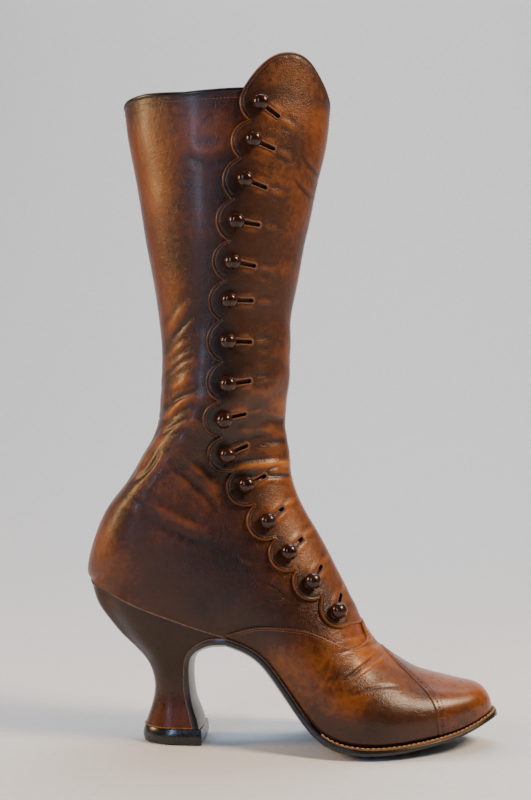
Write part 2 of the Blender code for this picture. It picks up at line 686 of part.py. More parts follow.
def vamp_outline():
    """Outline of the vamp: round the cap's seam, back along the feather edge, over its seam."""
    around = np.linspace(0.0, 1.0, COLUMNS + 1)
    front = seam_place(CAP_SEAM, around) + 2.0 * FIT
    back = seam_place(VAMP_SEAM, around)
    lower = ROWS[(ROWS > front[0] + FIT) & (ROWS < back[0] - FIT)]

    def lifted(places, shares):
        rest = SKIN.rest(places, PANEL_LIFT)
        return np.column_stack((places, rest + (1.0 - 2.0 * rest) * shares))

    return np.vstack((
        lifted(front, around), lifted(lower, np.ones(len(lower))),
        lifted(back, around)[::-1], lifted(lower, np.zeros(len(lower)))[::-1]))


def make_vamp(material, parent):
    """The vamp, from the toe cap's seam back to the raised seam over the quarters."""
    return make_patch("vamp", vamp_outline(), [], lambda flat: np.full(len(flat), PANEL_THICKNESS)[:, None],
                      material, parent)


def button_frames():
    """Each button's place on the skin, with the way along the row, outward and off the skin."""
    entries = [named(BUTTON_COLUMNS, row) for row in BUTTONS]
    collar = SEAT_HEIGHT + LEG_HEIGHT
    places = SKIN.place_of_front(np.array([entry["front"] for entry in entries]) * collar)
    around = np.array([entry["around"] for entry in entries])
    points = SKIN.at(places, around)
    normals = SKIN.at(places, around, 1.0) - points
    along = np.gradient(points, axis=0)
    along /= np.linalg.norm(along, axis=1, keepdims=True)
    outward = np.cross(along, normals)
    outward /= np.linalg.norm(outward, axis=1, keepdims=True)
    return [{"point": points[k], "normal": normals[k], "outward": outward[k],
             "along": np.cross(normals[k], outward[k]),
             "turn": math.radians(entries[k]["turn"]),
             "reach": entries[k]["reach"] * SCALLOP_REACH,
             "notch": entries[k]["notch"] * SCALLOP_REACH} for k in range(len(entries))]


def scallop_edge(frames):
    """Outline of the scallops down the fly, an arc round each button from notch to notch."""
    notches = [SCALLOP_START]
    for upper, lower in zip(frames[:-1], frames[1:]):
        middle = 0.5 * (upper["point"] + lower["point"])
        side = upper["outward"] + lower["outward"]
        notches.append(middle + side / np.linalg.norm(side) * upper["notch"])
    notches.append(SCALLOP_END)
    edge = []
    for k, frame in enumerate(frames):
        flat = []
        for spot in (notches[k], None, notches[k + 1]):
            if spot is None:
                flat.append((0.0, frame["reach"]))
            elif len(spot) == 2:
                flat.append((spot[0] * SCALLOP_REACH, spot[1] * SCALLOP_REACH))
            else:
                arm = spot - frame["point"]
                flat.append((arm @ frame["along"], arm @ frame["outward"]))
        centre, radius = circle_through(*flat)
        angles = [math.atan2(spot[1] - centre[1], spot[0] - centre[0]) for spot in flat]
        turn = 1.0 if (angles[1] - angles[0]) % math.tau < (angles[2] - angles[0]) % math.tau else -1.0
        sweep = (turn * (angles[2] - angles[0])) % math.tau
        for n in range(SCALLOP_STEPS + (frame is frames[-1])):
            angle = angles[0] + turn * sweep * n / SCALLOP_STEPS
            along = centre[0] + radius * math.cos(angle)
            outward = centre[1] + radius * math.sin(angle)
            edge.append(frame["point"] + frame["along"] * along + frame["outward"] * outward)
    return edge


def circle_through(a, b, c):
    """Centre and radius of the circle through three points."""
    d = 2.0 * (a[0] * (b[1] - c[1]) + b[0] * (c[1] - a[1]) + c[0] * (a[1] - b[1]))
    squares = [p[0] ** 2 + p[1] ** 2 for p in (a, b, c)]
    x = (squares[0] * (b[1] - c[1]) + squares[1] * (c[1] - a[1]) + squares[2] * (a[1] - b[1])) / d
    y = (squares[0] * (c[0] - b[0]) + squares[1] * (a[0] - c[0]) + squares[2] * (b[0] - a[0])) / d
    return (x, y), math.hypot(a[0] - x, a[1] - y)


def slot_outline(frame):
    """Outline of a worked buttonhole, from under the button towards the front of the boot."""
    inward = -frame["outward"] * math.cos(frame["turn"]) + frame["along"] * math.sin(frame["turn"])
    across = np.cross(frame["normal"], inward)
    half = 0.5 * SLOT_WIDTH
    near = half - 0.5 * BUTTON_SHANK - 0.0016
    outline = []
    run = SLOT_LENGTH - 2.0 * half
    for end, first in ((near, 0.5 * math.pi), (near + run, -0.5 * math.pi)):
        for k in range(4):
            angle = first + math.pi * k / 3.0
            arm = end + half * math.cos(angle)
            outline.append(frame["point"] + inward * arm + across * half * math.sin(angle))
        middle = frame["point"] + inward * (near + 0.5 * run)
        outline.append(middle - across * half * math.sin(first))
    return outline


def fly_outline(frames):
    """Outline of the button fly as places and shares: ridge, peak, scallops and foot."""
    seam = np.linspace(FLY_FOOT, 0.5, 3)
    foot = np.column_stack((seam_place(VAMP_SEAM, seam) + 3.0 * FIT, seam))
    ridge = ROWS[ROWS > foot[-1, 0] + FIT]
    front = np.column_stack((ridge, np.full(len(ridge), 0.5)))
    entries = [named(PEAK_COLUMNS, row) for row in PEAK]
    lifts = np.array([entry["lift"] for entry in entries])
    tops = SKIN.place_of_front(SEAT_HEIGHT + LEG_HEIGHT + lifts * FLY_PEAK)
    peak = np.column_stack((tops, [entry["around"] for entry in entries]))
    scallops = np.array([SKIN.nearest(point) for point in scallop_edge(frames)])
    return np.vstack((foot, front, peak, scallops))


def fly_thickness(flat):
    """Thickness of the fly, thinned towards the seam down the front."""
    away = (0.5 - flat[:, 1]) * SKIN.girth_at(flat[:, 0]) / FLY_SKIVE
    return FLY_THICKNESS * (FLY_SEAM_SHARE + (1.0 - FLY_SEAM_SHARE) * np.clip(away, 0.0, 1.0))[:, None]


def make_fly(frames, material, parent):
    """The scalloped button fly, one sheet with its worked buttonholes cut through."""
    slots = [np.array([SKIN.nearest(point) for point in slot_outline(frame)]) for frame in frames]
    return make_patch("button_fly", fly_outline(frames), slots, fly_thickness, material, parent)


def make_button(number, frame, material, parent):
    """A domed button on a shank that passes through the slot down to the quarter."""
    half = 0.5 * BUTTON_DIAMETER
    seat = SKIN_GAP + FLY_THICKNESS + FIT
    profile = (
        (0.5 * BUTTON_SHANK, SKIN_GAP),
        (0.5 * BUTTON_SHANK, seat + 0.02 * BUTTON_HEIGHT),
        (0.62 * half, seat),
        (1.00 * half, seat + 0.36 * BUTTON_HEIGHT),
        (0.86 * half, seat + 0.72 * BUTTON_HEIGHT),
        (0.46 * half, seat + 0.95 * BUTTON_HEIGHT),
    )
    side = frame["along"]
    cross = np.cross(frame["normal"], side)
    points = []
    for radius, height in profile:
        for k in range(BUTTON_SIDES):
            angle = 2.0 * math.pi * k / BUTTON_SIDES
            spoke = side * math.cos(angle) + cross * math.sin(angle)
            points.append(frame["point"] + frame["normal"] * height + spoke * radius)
    points.append(frame["point"] + frame["normal"] * (seat + BUTTON_HEIGHT))
    faces = [list(range(BUTTON_SIDES))[::-1]]
    for ring in range(len(profile) - 1):
        for k in range(BUTTON_SIDES):
            a = ring * BUTTON_SIDES + k
            b = ring * BUTTON_SIDES + (k + 1) % BUTTON_SIDES
            faces.append([a, b, b + BUTTON_SIDES, a + BUTTON_SIDES])
    base = (len(profile) - 1) * BUTTON_SIDES
    faces += [[base + k, base + (k + 1) % BUTTON_SIDES, len(points) - 1] for k in range(BUTTON_SIDES)]
    return make_object("button_%02d" % number, points, faces, material, parent)


def feather_frames(places):
    """Bottom line of the skin at these places, with its upward normal in the side view."""
    line = SKIN.bottom_at(places)
    ahead = SKIN.bottom_at(places - 0.001)
    behind = SKIN.bottom_at(places + 0.001)
    run = ahead - behind
    run /= np.linalg.norm(run, axis=1, keepdims=True)
    return line, np.column_stack((-run[:, 1], run[:, 0]))


def feather_z(x):
    """Height of the feather edge, carried on past the toe tip at its own slope."""
    open_rows = SKIN.places <= CLOSING_PLACE
    line = SKIN.values[open_rows, 0:2][::-1]
    beyond = np.maximum(0.0, np.asarray(x) - line[-1, 0])
    slope = (line[-1, 1] - line[-6, 1]) / (line[-1, 0] - line[-6, 0])
    return np.interp(x, line[:, 0], line[:, 1]) + slope * beyond


def welt_reach():
    return SKIN_GAP + CAP_THICKNESS + FIT + WELT_WIDTH


def edge_points(places, reach, side):
    """Plan of the feather edge moved out by reach, at the height of the feather edge."""
    around = np.full(len(places), 0.0 if side < 0 else 1.0)
    points = SKIN.at(places, around)
    normal = SKIN.at(places, around, 1.0) - points
    normal[:, 2] = 0.0
    normal /= np.linalg.norm(normal, axis=1, keepdims=True)
    points = points + normal * np.asarray(reach)[..., None]
    points[:, 2] = feather_z(points[:, 0])
    return points


def heel_height(share):
    low = TOP_LIFT_HEIGHT + FIT
    return low + share * (SEAT_HEIGHT - low)


def heel_rings():
    rings = []
    for row in HEEL:
        cut = named(HEEL_COLUMNS, row)
        rings.append({
            "back": np.array((cut["back_x"] * BOOT_LENGTH, heel_height(cut["back_z"]))),
            "inner": np.array((cut["inner_x"] * BOOT_LENGTH, heel_height(cut["inner_z"]))),
            "outer": np.array((cut["outer_x"] * BOOT_LENGTH, heel_height(cut["outer_z"]))),
            "seat": cut["seat"], "narrow": cut["narrow"]})
    first = rings[0]
    first["back"][0] = float(SKIN.bottom_at(np.array([CLOSING_PLACE]))[0, 0])
    lift = float(feather_z(first["inner"][0])) - FIT - first["inner"][1]
    for ring in rings:
        ring["inner"][1] += lift * ring["seat"] ** 2
        ring["outer"][1] += lift * ring["seat"] ** 2
    return rings


def seat_half(x):
    """Outer and inner half widths of the seat at a distance along the boot."""
    open_rows = SKIN.places <= CLOSING_PLACE
    line = SKIN.values[open_rows][::-1]
    edge = np.interp(x, line[:, 0], line[:, 4])
    swing = np.interp(x, line[:, 0], line[:, 6])
    return edge, swing


def low_half(ring):
    return 0.5 * (HEEL_BASE_WIDTH + (HEEL_NECK_WIDTH - HEEL_BASE_WIDTH) * ring["narrow"])


def ring_halves(ring, shares):
    """Half widths and swing of a heel ring at shares of its length from the back."""
    seat = heel_rings()[0]
    edge, swing = seat_half(seat["back"][0] + (seat["inner"][0] - seat["back"][0]) * shares)
    rounded = np.sqrt(1.0 - (1.0 - np.minimum(shares / HEEL_ROUND, 1.0)) ** 2)
    low = low_half(ring) * rounded
    return ring["seat"] * edge + (1.0 - ring["seat"]) * low, ring["seat"] * swing


def make_heel(material, parent):
    """The Louis heel: rings from the cupped seat through the neck to the base."""
    rings = heel_rings()
    steps = 9
    shares = np.array([1.0 - math.cos(0.5 * math.pi * k / steps) for k in range(steps + 1)])
    inner = np.array([ring["inner"] for ring in rings])
    run = np.gradient(inner, axis=0)
    run /= np.linalg.norm(run, axis=1, keepdims=True)
    toward_heel = np.column_stack((run[:, 1], -run[:, 0]))
    points = []
    loops = []
    for k, ring in enumerate(rings):
        front = inner[k] + toward_heel[k] * FIT
        half, swing = ring_halves(ring, shares)
        spine = ring["back"] + (front - ring["back"]) * shares[:, None]
        if k == 0:
            spine[:, 1] = feather_z(spine[:, 0]) - FIT
        loop = []
        for side in (1.0, -1.0):
            order = range(steps, -1, -1) if side > 0 else range(1, steps + 1)
            for n in order:
                loop.append(len(points))
                points.append((spine[n, 0], swing[n] + side * half[n], spine[n, 1]))
        loops.append(loop)
    faces = []
    size = len(loops[0])
    for above, below in zip(loops[:-1], loops[1:]):
        for n in range(size):
            m = (n + 1) % size
            faces.append([above[n], below[n], below[m], above[m]])
    for loop, flip in ((loops[0], False), (loops[-1], True)):
        for n in range(steps - 1):
            ring_face(faces, [loop[n], loop[n + 1], loop[size - 2 - n], loop[size - 1 - n]], flip)
        ring_face(faces, [loop[steps - 1], loop[steps], loop[steps + 1]], flip)
    return make_object("heel", points, faces, material, parent)


def make_top_lift(material, parent):
    """The top-lift under the heel's base and the end of the sole."""
    base = heel_rings()[-1]
    steps = 8
    points = []
    loops = []
    for row in TOP_LIFT:
        cut = named(TOP_LIFT_COLUMNS, row)
        back = base["back"][0] - cut["out"]
        front = base["outer"][0] + 0.3 * cut["out"]
        half = low_half(base) + cut["out"]
        loop = []
        for side in (1.0, -1.0):
            order = range(steps, -1, -1) if side > 0 else range(1, steps + 1)
            for n in order:
                share = 1.0 - math.cos(0.5 * math.pi * n / steps)
                rounded = math.sqrt(1.0 - (1.0 - min(share / HEEL_ROUND, 1.0)) ** 2)
                loop.append(len(points))
                points.append((back + (front - back) * share, side * half * rounded,
                               cut["height"] * TOP_LIFT_HEIGHT))
        loops.append(loop)
    faces = [loops[0][:], loops[-1][::-1]]
    size = len(loops[0])
    for above, below in zip(loops[:-1], loops[1:]):
        for n in range(size):
            m = (n + 1) % size
            faces.append([above[n], below[n], below[m], above[m]])
    return make_object("top_lift", points, faces, material, parent)


def sole_places():
    """Places of the sole's stations, on the upper's own rows from the toe to the breast."""
    end = float(SKIN.place_of_bottom(HEEL[0][HEEL_COLUMNS.index("inner_x")]))
    places = ROWS[ROWS < end - 2.0 * SOLE_EDGE]
    return np.concatenate(([1e-5], places[1:]))


def sole_stations():
    """Cross-sections of the sole from the toe to the foot of the breast."""
    entries = [named(SOLE_COLUMNS, row) for row in SOLE]
    knots = [-entry["bottom"] for entry in entries]
    places = sole_places()
    line, up = feather_frames(places)
    shares = [[entry[name] for name in ("margin", "edge", "depth")] for entry in entries]
    values = np.column_stack([np.interp(-line[:, 0] / BOOT_LENGTH, knots, column)
                              for column in np.array(shares).T])
    reach = values[:, 0] * welt_reach()
    left = edge_points(places, reach, -1)
    right = edge_points(places, reach, 1)
    stations = []
    for k in range(len(places)):
        normal = np.array((up[k, 0], 0.0, up[k, 1]))
        depth = values[k, 2] * SHANK_THICKNESS
        stations.append({
            "left": left[k] - normal * FIT, "right": right[k] - normal * FIT,
            "down": -normal * depth, "edge": values[k, 1] * SOLE_EDGE / depth, "floor": True})
    side_margin = entries[-1]["margin"] * welt_reach()
    for ring in heel_rings():
        half, swing = ring_halves(ring, np.array([1.0]))
        wide = half[0] + side_margin * ring["seat"]
        inner, outer = ring["inner"], ring["outer"]
        down = outer - inner
        edge = FLAP_EDGE_SHARE + (stations[len(places) - 1]["edge"] - FLAP_EDGE_SHARE) * ring["seat"]
        stations.append({
            "left": np.array((inner[0], swing[0] - wide, inner[1])),
            "right": np.array((inner[0], swing[0] + wide, inner[1])),
            "down": np.array((down[0], 0.0, down[1])), "edge": edge, "floor": False})
    return stations


def make_outsole(material, parent):
    """The sole: rounded under the waist, flat on the tread, and down the breast of the heel."""
    spread = np.array((-1.0, -0.86, -0.5, 0.0, 0.5, 0.86, 1.0))
    top_spread = np.array((1.0, 0.0, -1.0))
    points = []
    loops = []
    for station in sole_stations():
        middle = 0.5 * (station["left"] + station["right"])
        arm = 0.5 * (station["right"] - station["left"])
        loop = []
        for s in spread:
            share = station["edge"] + (1.0 - station["edge"]) * (1.0 - abs(s) ** 2.2)
            point = middle + arm * s + station["down"] * share
            if station["floor"]:
                point[2] = max(0.0, point[2])
            loop.append(len(points))
            points.append(point)
        for s in top_spread:
            loop.append(len(points))
            points.append(middle + arm * s)
        loops.append(loop)
    faces = [loops[0][:], loops[-1][::-1]]
    size = len(loops[0])
    for above, below in zip(loops[:-1], loops[1:]):
        for n in range(size):
            m = (n + 1) % size
            faces.append([above[n], below[n], below[m], above[m]])
    return make_object("outsole", points, faces, material, parent)


def make_welt(material, parent):
    """The welt round the forefoot, on the margin of the sole."""
    places = sole_places()
    places = places[places < SKIN.place_of_bottom(WELT_END)]
    taper = np.clip((places[-1] - places) / (0.25 * places[-1]), 0.25, 1.0)
    near = welt_reach() - WELT_WIDTH
    rows = []
    for side in (-1, 1):
        inner = edge_points(places, np.full(len(places), near), side)
        outer = edge_points(places, near + (WELT_WIDTH - FIT) * taper, side)
        rows.append(list(zip(inner, outer)))
    strip = rows[0][::-1] + rows[1][1:]
    points = []
    loops = []
    for inner, outer in strip:
        loop = []
        for point, rise in ((inner, 0.0), (inner, WELT_THICKNESS), (outer, WELT_THICKNESS), (outer, 0.0)):
            loop.append(len(points))
            points.append(point + np.array((0.0, 0.0, rise)))
        loops.append(loop)
    faces = [loops[0][::-1], loops[-1][:]]
    for above, below in zip(loops[:-1], loops[1:]):
        for n in range(4):
            m = (n + 1) % 4
            faces.append([above[n], above[m], below[m], below[n]])
    return make_object("welt", points, faces, material, parent)


def make_insole(material, parent):
    """The insole inside the feather edge, from the toe to the back of the seat."""
    ends = SKIN.place_of_bottom(np.array([INSOLE_TOE, INSOLE_BACK]))
    places = np.concatenate(([ends[0]], ROWS[(ROWS > ends[0] + FIT) & (ROWS < ends[1] - FIT)], [ends[1]]))
    up = feather_frames(places)[1]
    reach = np.full(len(places), -(UPPER_WALL + 2.0 * SKIN_GAP))
    left = edge_points(places, reach, -1)
    right = edge_points(places, reach, 1)
    points = []
    loops = []
    for k in range(len(places)):
        normal = np.array((up[k, 0], 0.0, up[k, 1]))
        loop = []
        for point, rise in ((left[k], FIT), (right[k], FIT), (right[k], FIT + INSOLE_THICKNESS),
                            (left[k], FIT + INSOLE_THICKNESS)):
            loop.append(len(points))
            points.append(point + normal * rise)
        loops.append(loop)
    faces = [loops[0][:], loops[-1][::-1]]
    for above, below in zip(loops[:-1], loops[1:]):
        for n in range(4):
            m = (n + 1) % 4
            faces.append([above[n], below[n], below[m], above[m]])
    return make_object("insole", points, faces, material, parent)


def main():
    for item in list(bpy.data.objects):
        bpy.data.objects.remove(item, do_unlink=True)
    root = bpy.data.objects.new("boot", None)
    bpy.context.scene.collection.objects.link(root)
    frames = button_frames()
    pieces = [
        make_upper(make_material("quarter_leather", "5A2C16", 0.35), root),
        make_vamp(make_material("vamp_leather", "6B3419", 0.35), root),
        make_cap(make_material("cap_leather", "6F371B", 0.30), root),
        make_fly(frames, make_material("fly_leather", "6E3618", 0.35), root),
        make_heel(make_material("heel_leather", "45200F", 0.30), root),
        make_top_lift(make_material("top_lift_leather", "120F0E", 0.30), root),
        make_outsole(make_material("blacked_sole_leather", "171210", 0.45), root),
        make_welt(make_material("welt_leather", "A9763C", 0.60), root),
        make_insole(make_material("insole_leather", "B08A5E", 0.70), root),
    ]
    button_glass = make_material("button_glass", "160C08", 0.12)
    pieces += [make_button(number, frame, button_glass, root) for number, frame in enumerate(frames, 1)]
    corners = np.array([tuple(vert.co) for piece in pieces for vert in piece.data.vertices])
    low, high = corners.min(axis=0), corners.max(axis=0)
    root.location = (-0.5 * (low[0] + high[0]), -0.5 * (low[1] + high[1]), -low[2])


main()
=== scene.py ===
# Lady's high button boot for the right foot: glossy calf, a scalloped fly, blacked sole, Louis heel.
# Metres in the frame of the CAD: +Z up, +X towards the toe, -Y towards the outer side.
import json
import math
import bpy
import numpy as np
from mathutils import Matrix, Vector, noise
from mathutils.geometry import delaunay_2d_cdt
from mathutils.kdtree import KDTree

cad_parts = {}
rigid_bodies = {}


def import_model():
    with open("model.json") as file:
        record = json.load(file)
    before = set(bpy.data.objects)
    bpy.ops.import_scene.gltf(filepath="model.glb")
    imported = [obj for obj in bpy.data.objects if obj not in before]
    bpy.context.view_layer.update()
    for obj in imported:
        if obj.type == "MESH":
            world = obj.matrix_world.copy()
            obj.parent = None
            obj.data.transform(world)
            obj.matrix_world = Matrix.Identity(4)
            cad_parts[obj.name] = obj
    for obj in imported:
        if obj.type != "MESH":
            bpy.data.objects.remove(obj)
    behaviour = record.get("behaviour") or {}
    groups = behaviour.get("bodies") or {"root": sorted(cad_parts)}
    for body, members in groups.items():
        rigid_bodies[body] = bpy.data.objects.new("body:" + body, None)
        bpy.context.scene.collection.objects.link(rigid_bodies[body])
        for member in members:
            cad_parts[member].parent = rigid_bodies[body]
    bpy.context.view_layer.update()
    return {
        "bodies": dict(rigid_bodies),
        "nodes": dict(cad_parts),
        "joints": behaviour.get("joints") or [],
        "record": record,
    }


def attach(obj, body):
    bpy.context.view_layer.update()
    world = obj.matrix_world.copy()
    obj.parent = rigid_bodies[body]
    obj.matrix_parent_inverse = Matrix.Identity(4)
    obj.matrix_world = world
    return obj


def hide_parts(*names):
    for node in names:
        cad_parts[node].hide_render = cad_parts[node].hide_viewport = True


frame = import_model()
print("frame loaded:", len(frame["nodes"]), "solids")

# The last: sizes in metres, then the tables that shape it, in shares of those sizes.
last = {
    "length": 0.2445, "ballWidth": 0.079, "seatWidth": 0.056, "instepDepth": 0.075,
    "seatHeight": 0.097, "toeSpring": 0.0125, "legHeight": 0.283, "ankleWidth": 0.064,
    "calfWidth": 0.082, "calfDepth": 0.122, "shaftCrown": 2.05, "soleDepth": 0.0065,
    "fit": 0.0003, "gap": 0.0004,
    "rows": 300, "halfColumns": 90,
    "origin": (-0.12295, 0.00316, 0.0),  # where the last's own zero lies in the frame
}

forefootColumns = (
    "bottom", "rise", "spring", "lean", "depth", "edge", "belly", "swing", "ridge", "widest", "crown")
forefootRows = (
    (0.982, 0.000, 1.00, 0.001, 0.000, 0.000, 0.000, 0.082, 0.082, 0.42, 2.30),
    (0.978, 0.000, 0.97, 0.001, 0.090, 0.070, 0.074, 0.082, 0.082, 0.42, 2.30),
    (0.969, 0.000, 0.89, 0.001, 0.166, 0.122, 0.132, 0.082, 0.082, 0.42, 2.30),
    (0.951, 0.000, 0.74, 0.001, 0.240, 0.178, 0.193, 0.080, 0.080, 0.42, 2.30),
    (0.917, 0.000, 0.50, 0.002, 0.306, 0.252, 0.271, 0.072, 0.076, 0.40, 2.25),
    (0.863, 0.000, 0.27, 0.004, 0.381, 0.342, 0.361, 0.053, 0.070, 0.36, 2.10),
    (0.802, 0.000, 0.11, 0.006, 0.459, 0.418, 0.434, 0.029, 0.057, 0.33, 2.00),
    (0.740, 0.000, 0.01, 0.014, 0.574, 0.472, 0.485, 0.006, 0.044, 0.30, 1.90),
    (0.679, 0.000, 0.00, 0.035, 0.681, 0.487, 0.500, -0.005, 0.038, 0.28, 1.80),
    (0.626, 0.020, 0.00, 0.056, 0.788, 0.472, 0.485, -0.011, 0.032, 0.26, 1.75),
    (0.577, 0.092, 0.00, 0.075, 0.889, 0.437, 0.456, -0.019, 0.025, 0.26, 1.75),
    (0.532, 0.235, 0.00, 0.092, 0.898, 0.392, 0.424, -0.028, 0.025, 0.27, 1.80),
)
hindfootRows = (
    (0.483, 0.417, 0.00, 0.111, 0.874, 0.496, 0.554, -0.052, 0.027, 0.28, 1.85),
    (0.434, 0.560, 0.00, 0.129, 0.898, 0.455, 0.532, -0.057, 0.021, 0.28, 1.90),
    (0.372, 0.641, 0.00, 0.159, 0.978, 0.443, 0.527, -0.054, 0.014, 0.28, 1.95),
    (0.290, 0.707, 0.00, 0.217, 1.066, 0.473, 0.536, -0.029, 0.007, 0.28, 2.00),
    (0.188, 0.800, 0.00, 0.308, 1.082, 0.496, 0.545, -0.009, 0.000, 0.30, 2.00),
    (0.102, 0.892, 0.00, 0.391, 1.051, 0.470, 0.545, 0.000, 0.000, 0.30, 2.00),
    (0.045, 0.961, 0.00, 0.448, 1.006, 0.357, 0.545, 0.000, 0.000, 0.30, 2.00),
    (0.016, 0.987, 0.00, 0.476, 0.998, 0.205, 0.545, 0.000, 0.000, 0.30, 2.00),
    (0.006, 1.000, 0.00, 0.486, 1.000, 0.000, 0.545, 0.000, 0.000, 0.30, 2.00),
)
ankleColumns = ("back", "backRise", "front", "frontRise", "half", "widest")
ankleRows = (
    (0.001, 0.039, 0.489, 0.284, 0.473, 0.30),
    (0.019, 0.095, 0.484, 0.309, 0.469, 0.30),
    (0.049, 0.151, 0.481, 0.333, 0.466, 0.31),
    (0.0955, 0.204, 0.482, 0.358, 0.469, 0.34),
    (0.1340, 0.260, 0.484, 0.382, 0.484, 0.37),
    (0.166, 0.309, 0.488, 0.407, 0.500, 0.40),
    (0.179, 0.361, 0.492, 0.435, 0.505, 0.43),
    (0.183, 0.421, 0.492, 0.467, 0.500, 0.45),
)
shaftColumns = ("middle", "rise", "deep", "tilt", "half", "widest")
shaftRows = (
    (0.339, 0.477, 0.621, 0.025, 0.384, 0.46),
    (0.336, 0.537, 0.633, 0.007, 0.390, 0.47),
    (0.337, 0.621, 0.690, 0.000, 0.421, 0.47),
    (0.337, 0.698, 0.759, 0.000, 0.449, 0.48),
    (0.339, 0.775, 0.829, 0.000, 0.470, 0.48),
    (0.341, 0.853, 0.895, 0.000, 0.485, 0.48),
    (0.342, 0.926, 0.966, 0.000, 0.495, 0.48),
    (0.341, 1.000, 1.003, 0.000, 0.500, 0.48),
    (0.344, 1.116, 1.057, 0.000, 0.518, 0.48),
)
seamColumns = ("around", "place")
vampSeam = (
    (0.00, 0.349),
    (0.04, 0.379),
    (0.10, 0.436),
    (0.17, 0.482),
    (0.24, 0.534),
    (0.31, 0.592),
    (0.36, 0.617),
    (0.41, 0.631),
    (0.44, 0.632),
    (0.46, 0.622),
    (0.48, 0.606),
    (0.50, 0.600),
)
capSeam = (
    (0.00, 0.850),
    (0.08, 0.846),
    (0.16, 0.839),
    (0.26, 0.816),
    (0.33, 0.791),
    (0.39, 0.763),
    (0.44, 0.728),
    (0.48, 0.690),
    (0.50, 0.677),
)
buttonColumns = ("front", "around", "turn", "reach", "notch")
buttonRows = (
    (0.984, 0.324, 23.0, 0.95, 0.38),
    (0.929, 0.313, 10.0, 1.00, 0.50),
    (0.870, 0.302, 9.0, 1.03, 0.47),
    (0.808, 0.290, 1.0, 0.96, 0.34),
    (0.748, 0.285, 7.0, 0.96, 0.36),
    (0.691, 0.281, 0.0, 0.99, 0.48),
    (0.634, 0.276, 0.0, 1.03, 0.42),
    (0.584, 0.280, -12.0, 1.05, 0.39),
    (0.546, 0.291, -10.0, 0.97, 0.28),
    (0.497, 0.346, -3.0, 0.93, 0.24),
    (0.446, 0.374, 3.0, 0.98, 0.19),
    (0.402, 0.342, -8.0, 0.92, 0.16),
    (0.355, 0.318, -7.0, 0.90, 0.24),
    (0.305, 0.314, -11.0, 0.84, 0.08),
    (0.248, 0.342, -20.0, 0.66, 0.00),
)
peakColumns = ("around", "lift")
peakRows = (
    (0.486, 0.00),
    (0.462, 0.28),
    (0.439, 0.55),
    (0.415, 0.83),
    (0.392, 0.98),
    (0.373, 1.00),
    (0.355, 0.95),
    (0.338, 0.82),
    (0.322, 0.62),
    (0.308, 0.38),
    (0.297, 0.15),
)
soleColumns = ("bottom", "margin", "edge", "depth")
soleRows = (
    (1.000, 1.00, 0.52, 0.40),
    (0.930, 1.00, 0.54, 0.55),
    (0.850, 1.00, 0.62, 0.74),
    (0.760, 1.00, 0.85, 0.92),
    (0.660, 1.00, 1.00, 0.96),
    (0.600, 0.72, 1.10, 0.98),
    (0.540, 0.30, 1.15, 1.00),
    (0.470, 0.14, 1.15, 1.00),
    (0.355, 0.14, 1.10, 1.00),
)
heelColumns = ("backX", "backZ", "innerX", "innerZ", "outerX", "outerZ", "seat", "narrow")
heelRows = (
    (0.007, 0.990, 0.354, 0.640, 0.350, 0.550, 1.00, 0.00),
    (0.014, 0.915, 0.330, 0.638, 0.325, 0.549, 0.93, 0.15),
    (0.028, 0.829, 0.310, 0.628, 0.308, 0.542, 0.84, 0.30),
    (0.049, 0.749, 0.292, 0.605, 0.294, 0.528, 0.72, 0.45),
    (0.076, 0.656, 0.275, 0.575, 0.281, 0.510, 0.58, 0.60),
    (0.104, 0.576, 0.260, 0.533, 0.270, 0.478, 0.42, 0.75),
    (0.133, 0.492, 0.250, 0.481, 0.264, 0.441, 0.24, 0.90),
    (0.153, 0.407, 0.245, 0.418, 0.261, 0.395, 0.10, 1.00),
    (0.163, 0.321, 0.243, 0.327, 0.261, 0.321, 0.02, 1.00),
    (0.165, 0.241, 0.245, 0.241, 0.264, 0.235, 0.00, 1.00),
    (0.160, 0.155, 0.251, 0.155, 0.270, 0.149, 0.00, 0.75),
    (0.151, 0.075, 0.259, 0.080, 0.281, 0.069, 0.00, 0.35),
    (0.142, 0.000, 0.266, 0.000, 0.288, 0.000, 0.00, 0.00),
)


# Natural cubic through the rows of values, read at the wanted places.
def spline(places, values, wanted):
    places = np.asarray(places, float)
    values = np.asarray(values, float)
    gaps = np.diff(places)
    slopes = np.diff(values, axis=0) / gaps[:, None]
    count = len(places)
    matrix = np.eye(count)
    right = np.zeros_like(values)
    for k in range(1, count - 1):
        matrix[k, k - 1] = gaps[k - 1]
        matrix[k, k] = 2.0 * (gaps[k - 1] + gaps[k])
        matrix[k, k + 1] = gaps[k]
        right[k] = 6.0 * (slopes[k] - slopes[k - 1])
    bends = np.linalg.solve(matrix, right)
    wanted = np.clip(np.asarray(wanted, float), places[0], places[-1])
    span = np.clip(np.searchsorted(places, wanted, side="right") - 1, 0, count - 2)
    width = gaps[span][:, None]
    ahead = (places[span + 1] - wanted)[:, None]
    behind = (wanted - places[span])[:, None]
    curve = (bends[span] * ahead ** 3 + bends[span + 1] * behind ** 3) / (6.0 * width)
    curve += (values[span] / width - bends[span] * width / 6.0) * ahead
    curve += (values[span + 1] / width - bends[span + 1] * width / 6.0) * behind
    return curve


def named(columns, row):
    return dict(zip(columns, row))


def featherHeight(rise, spring):
    return last["soleDepth"] + rise * (last["seatHeight"] - last["soleDepth"]) + spring * last["toeSpring"]


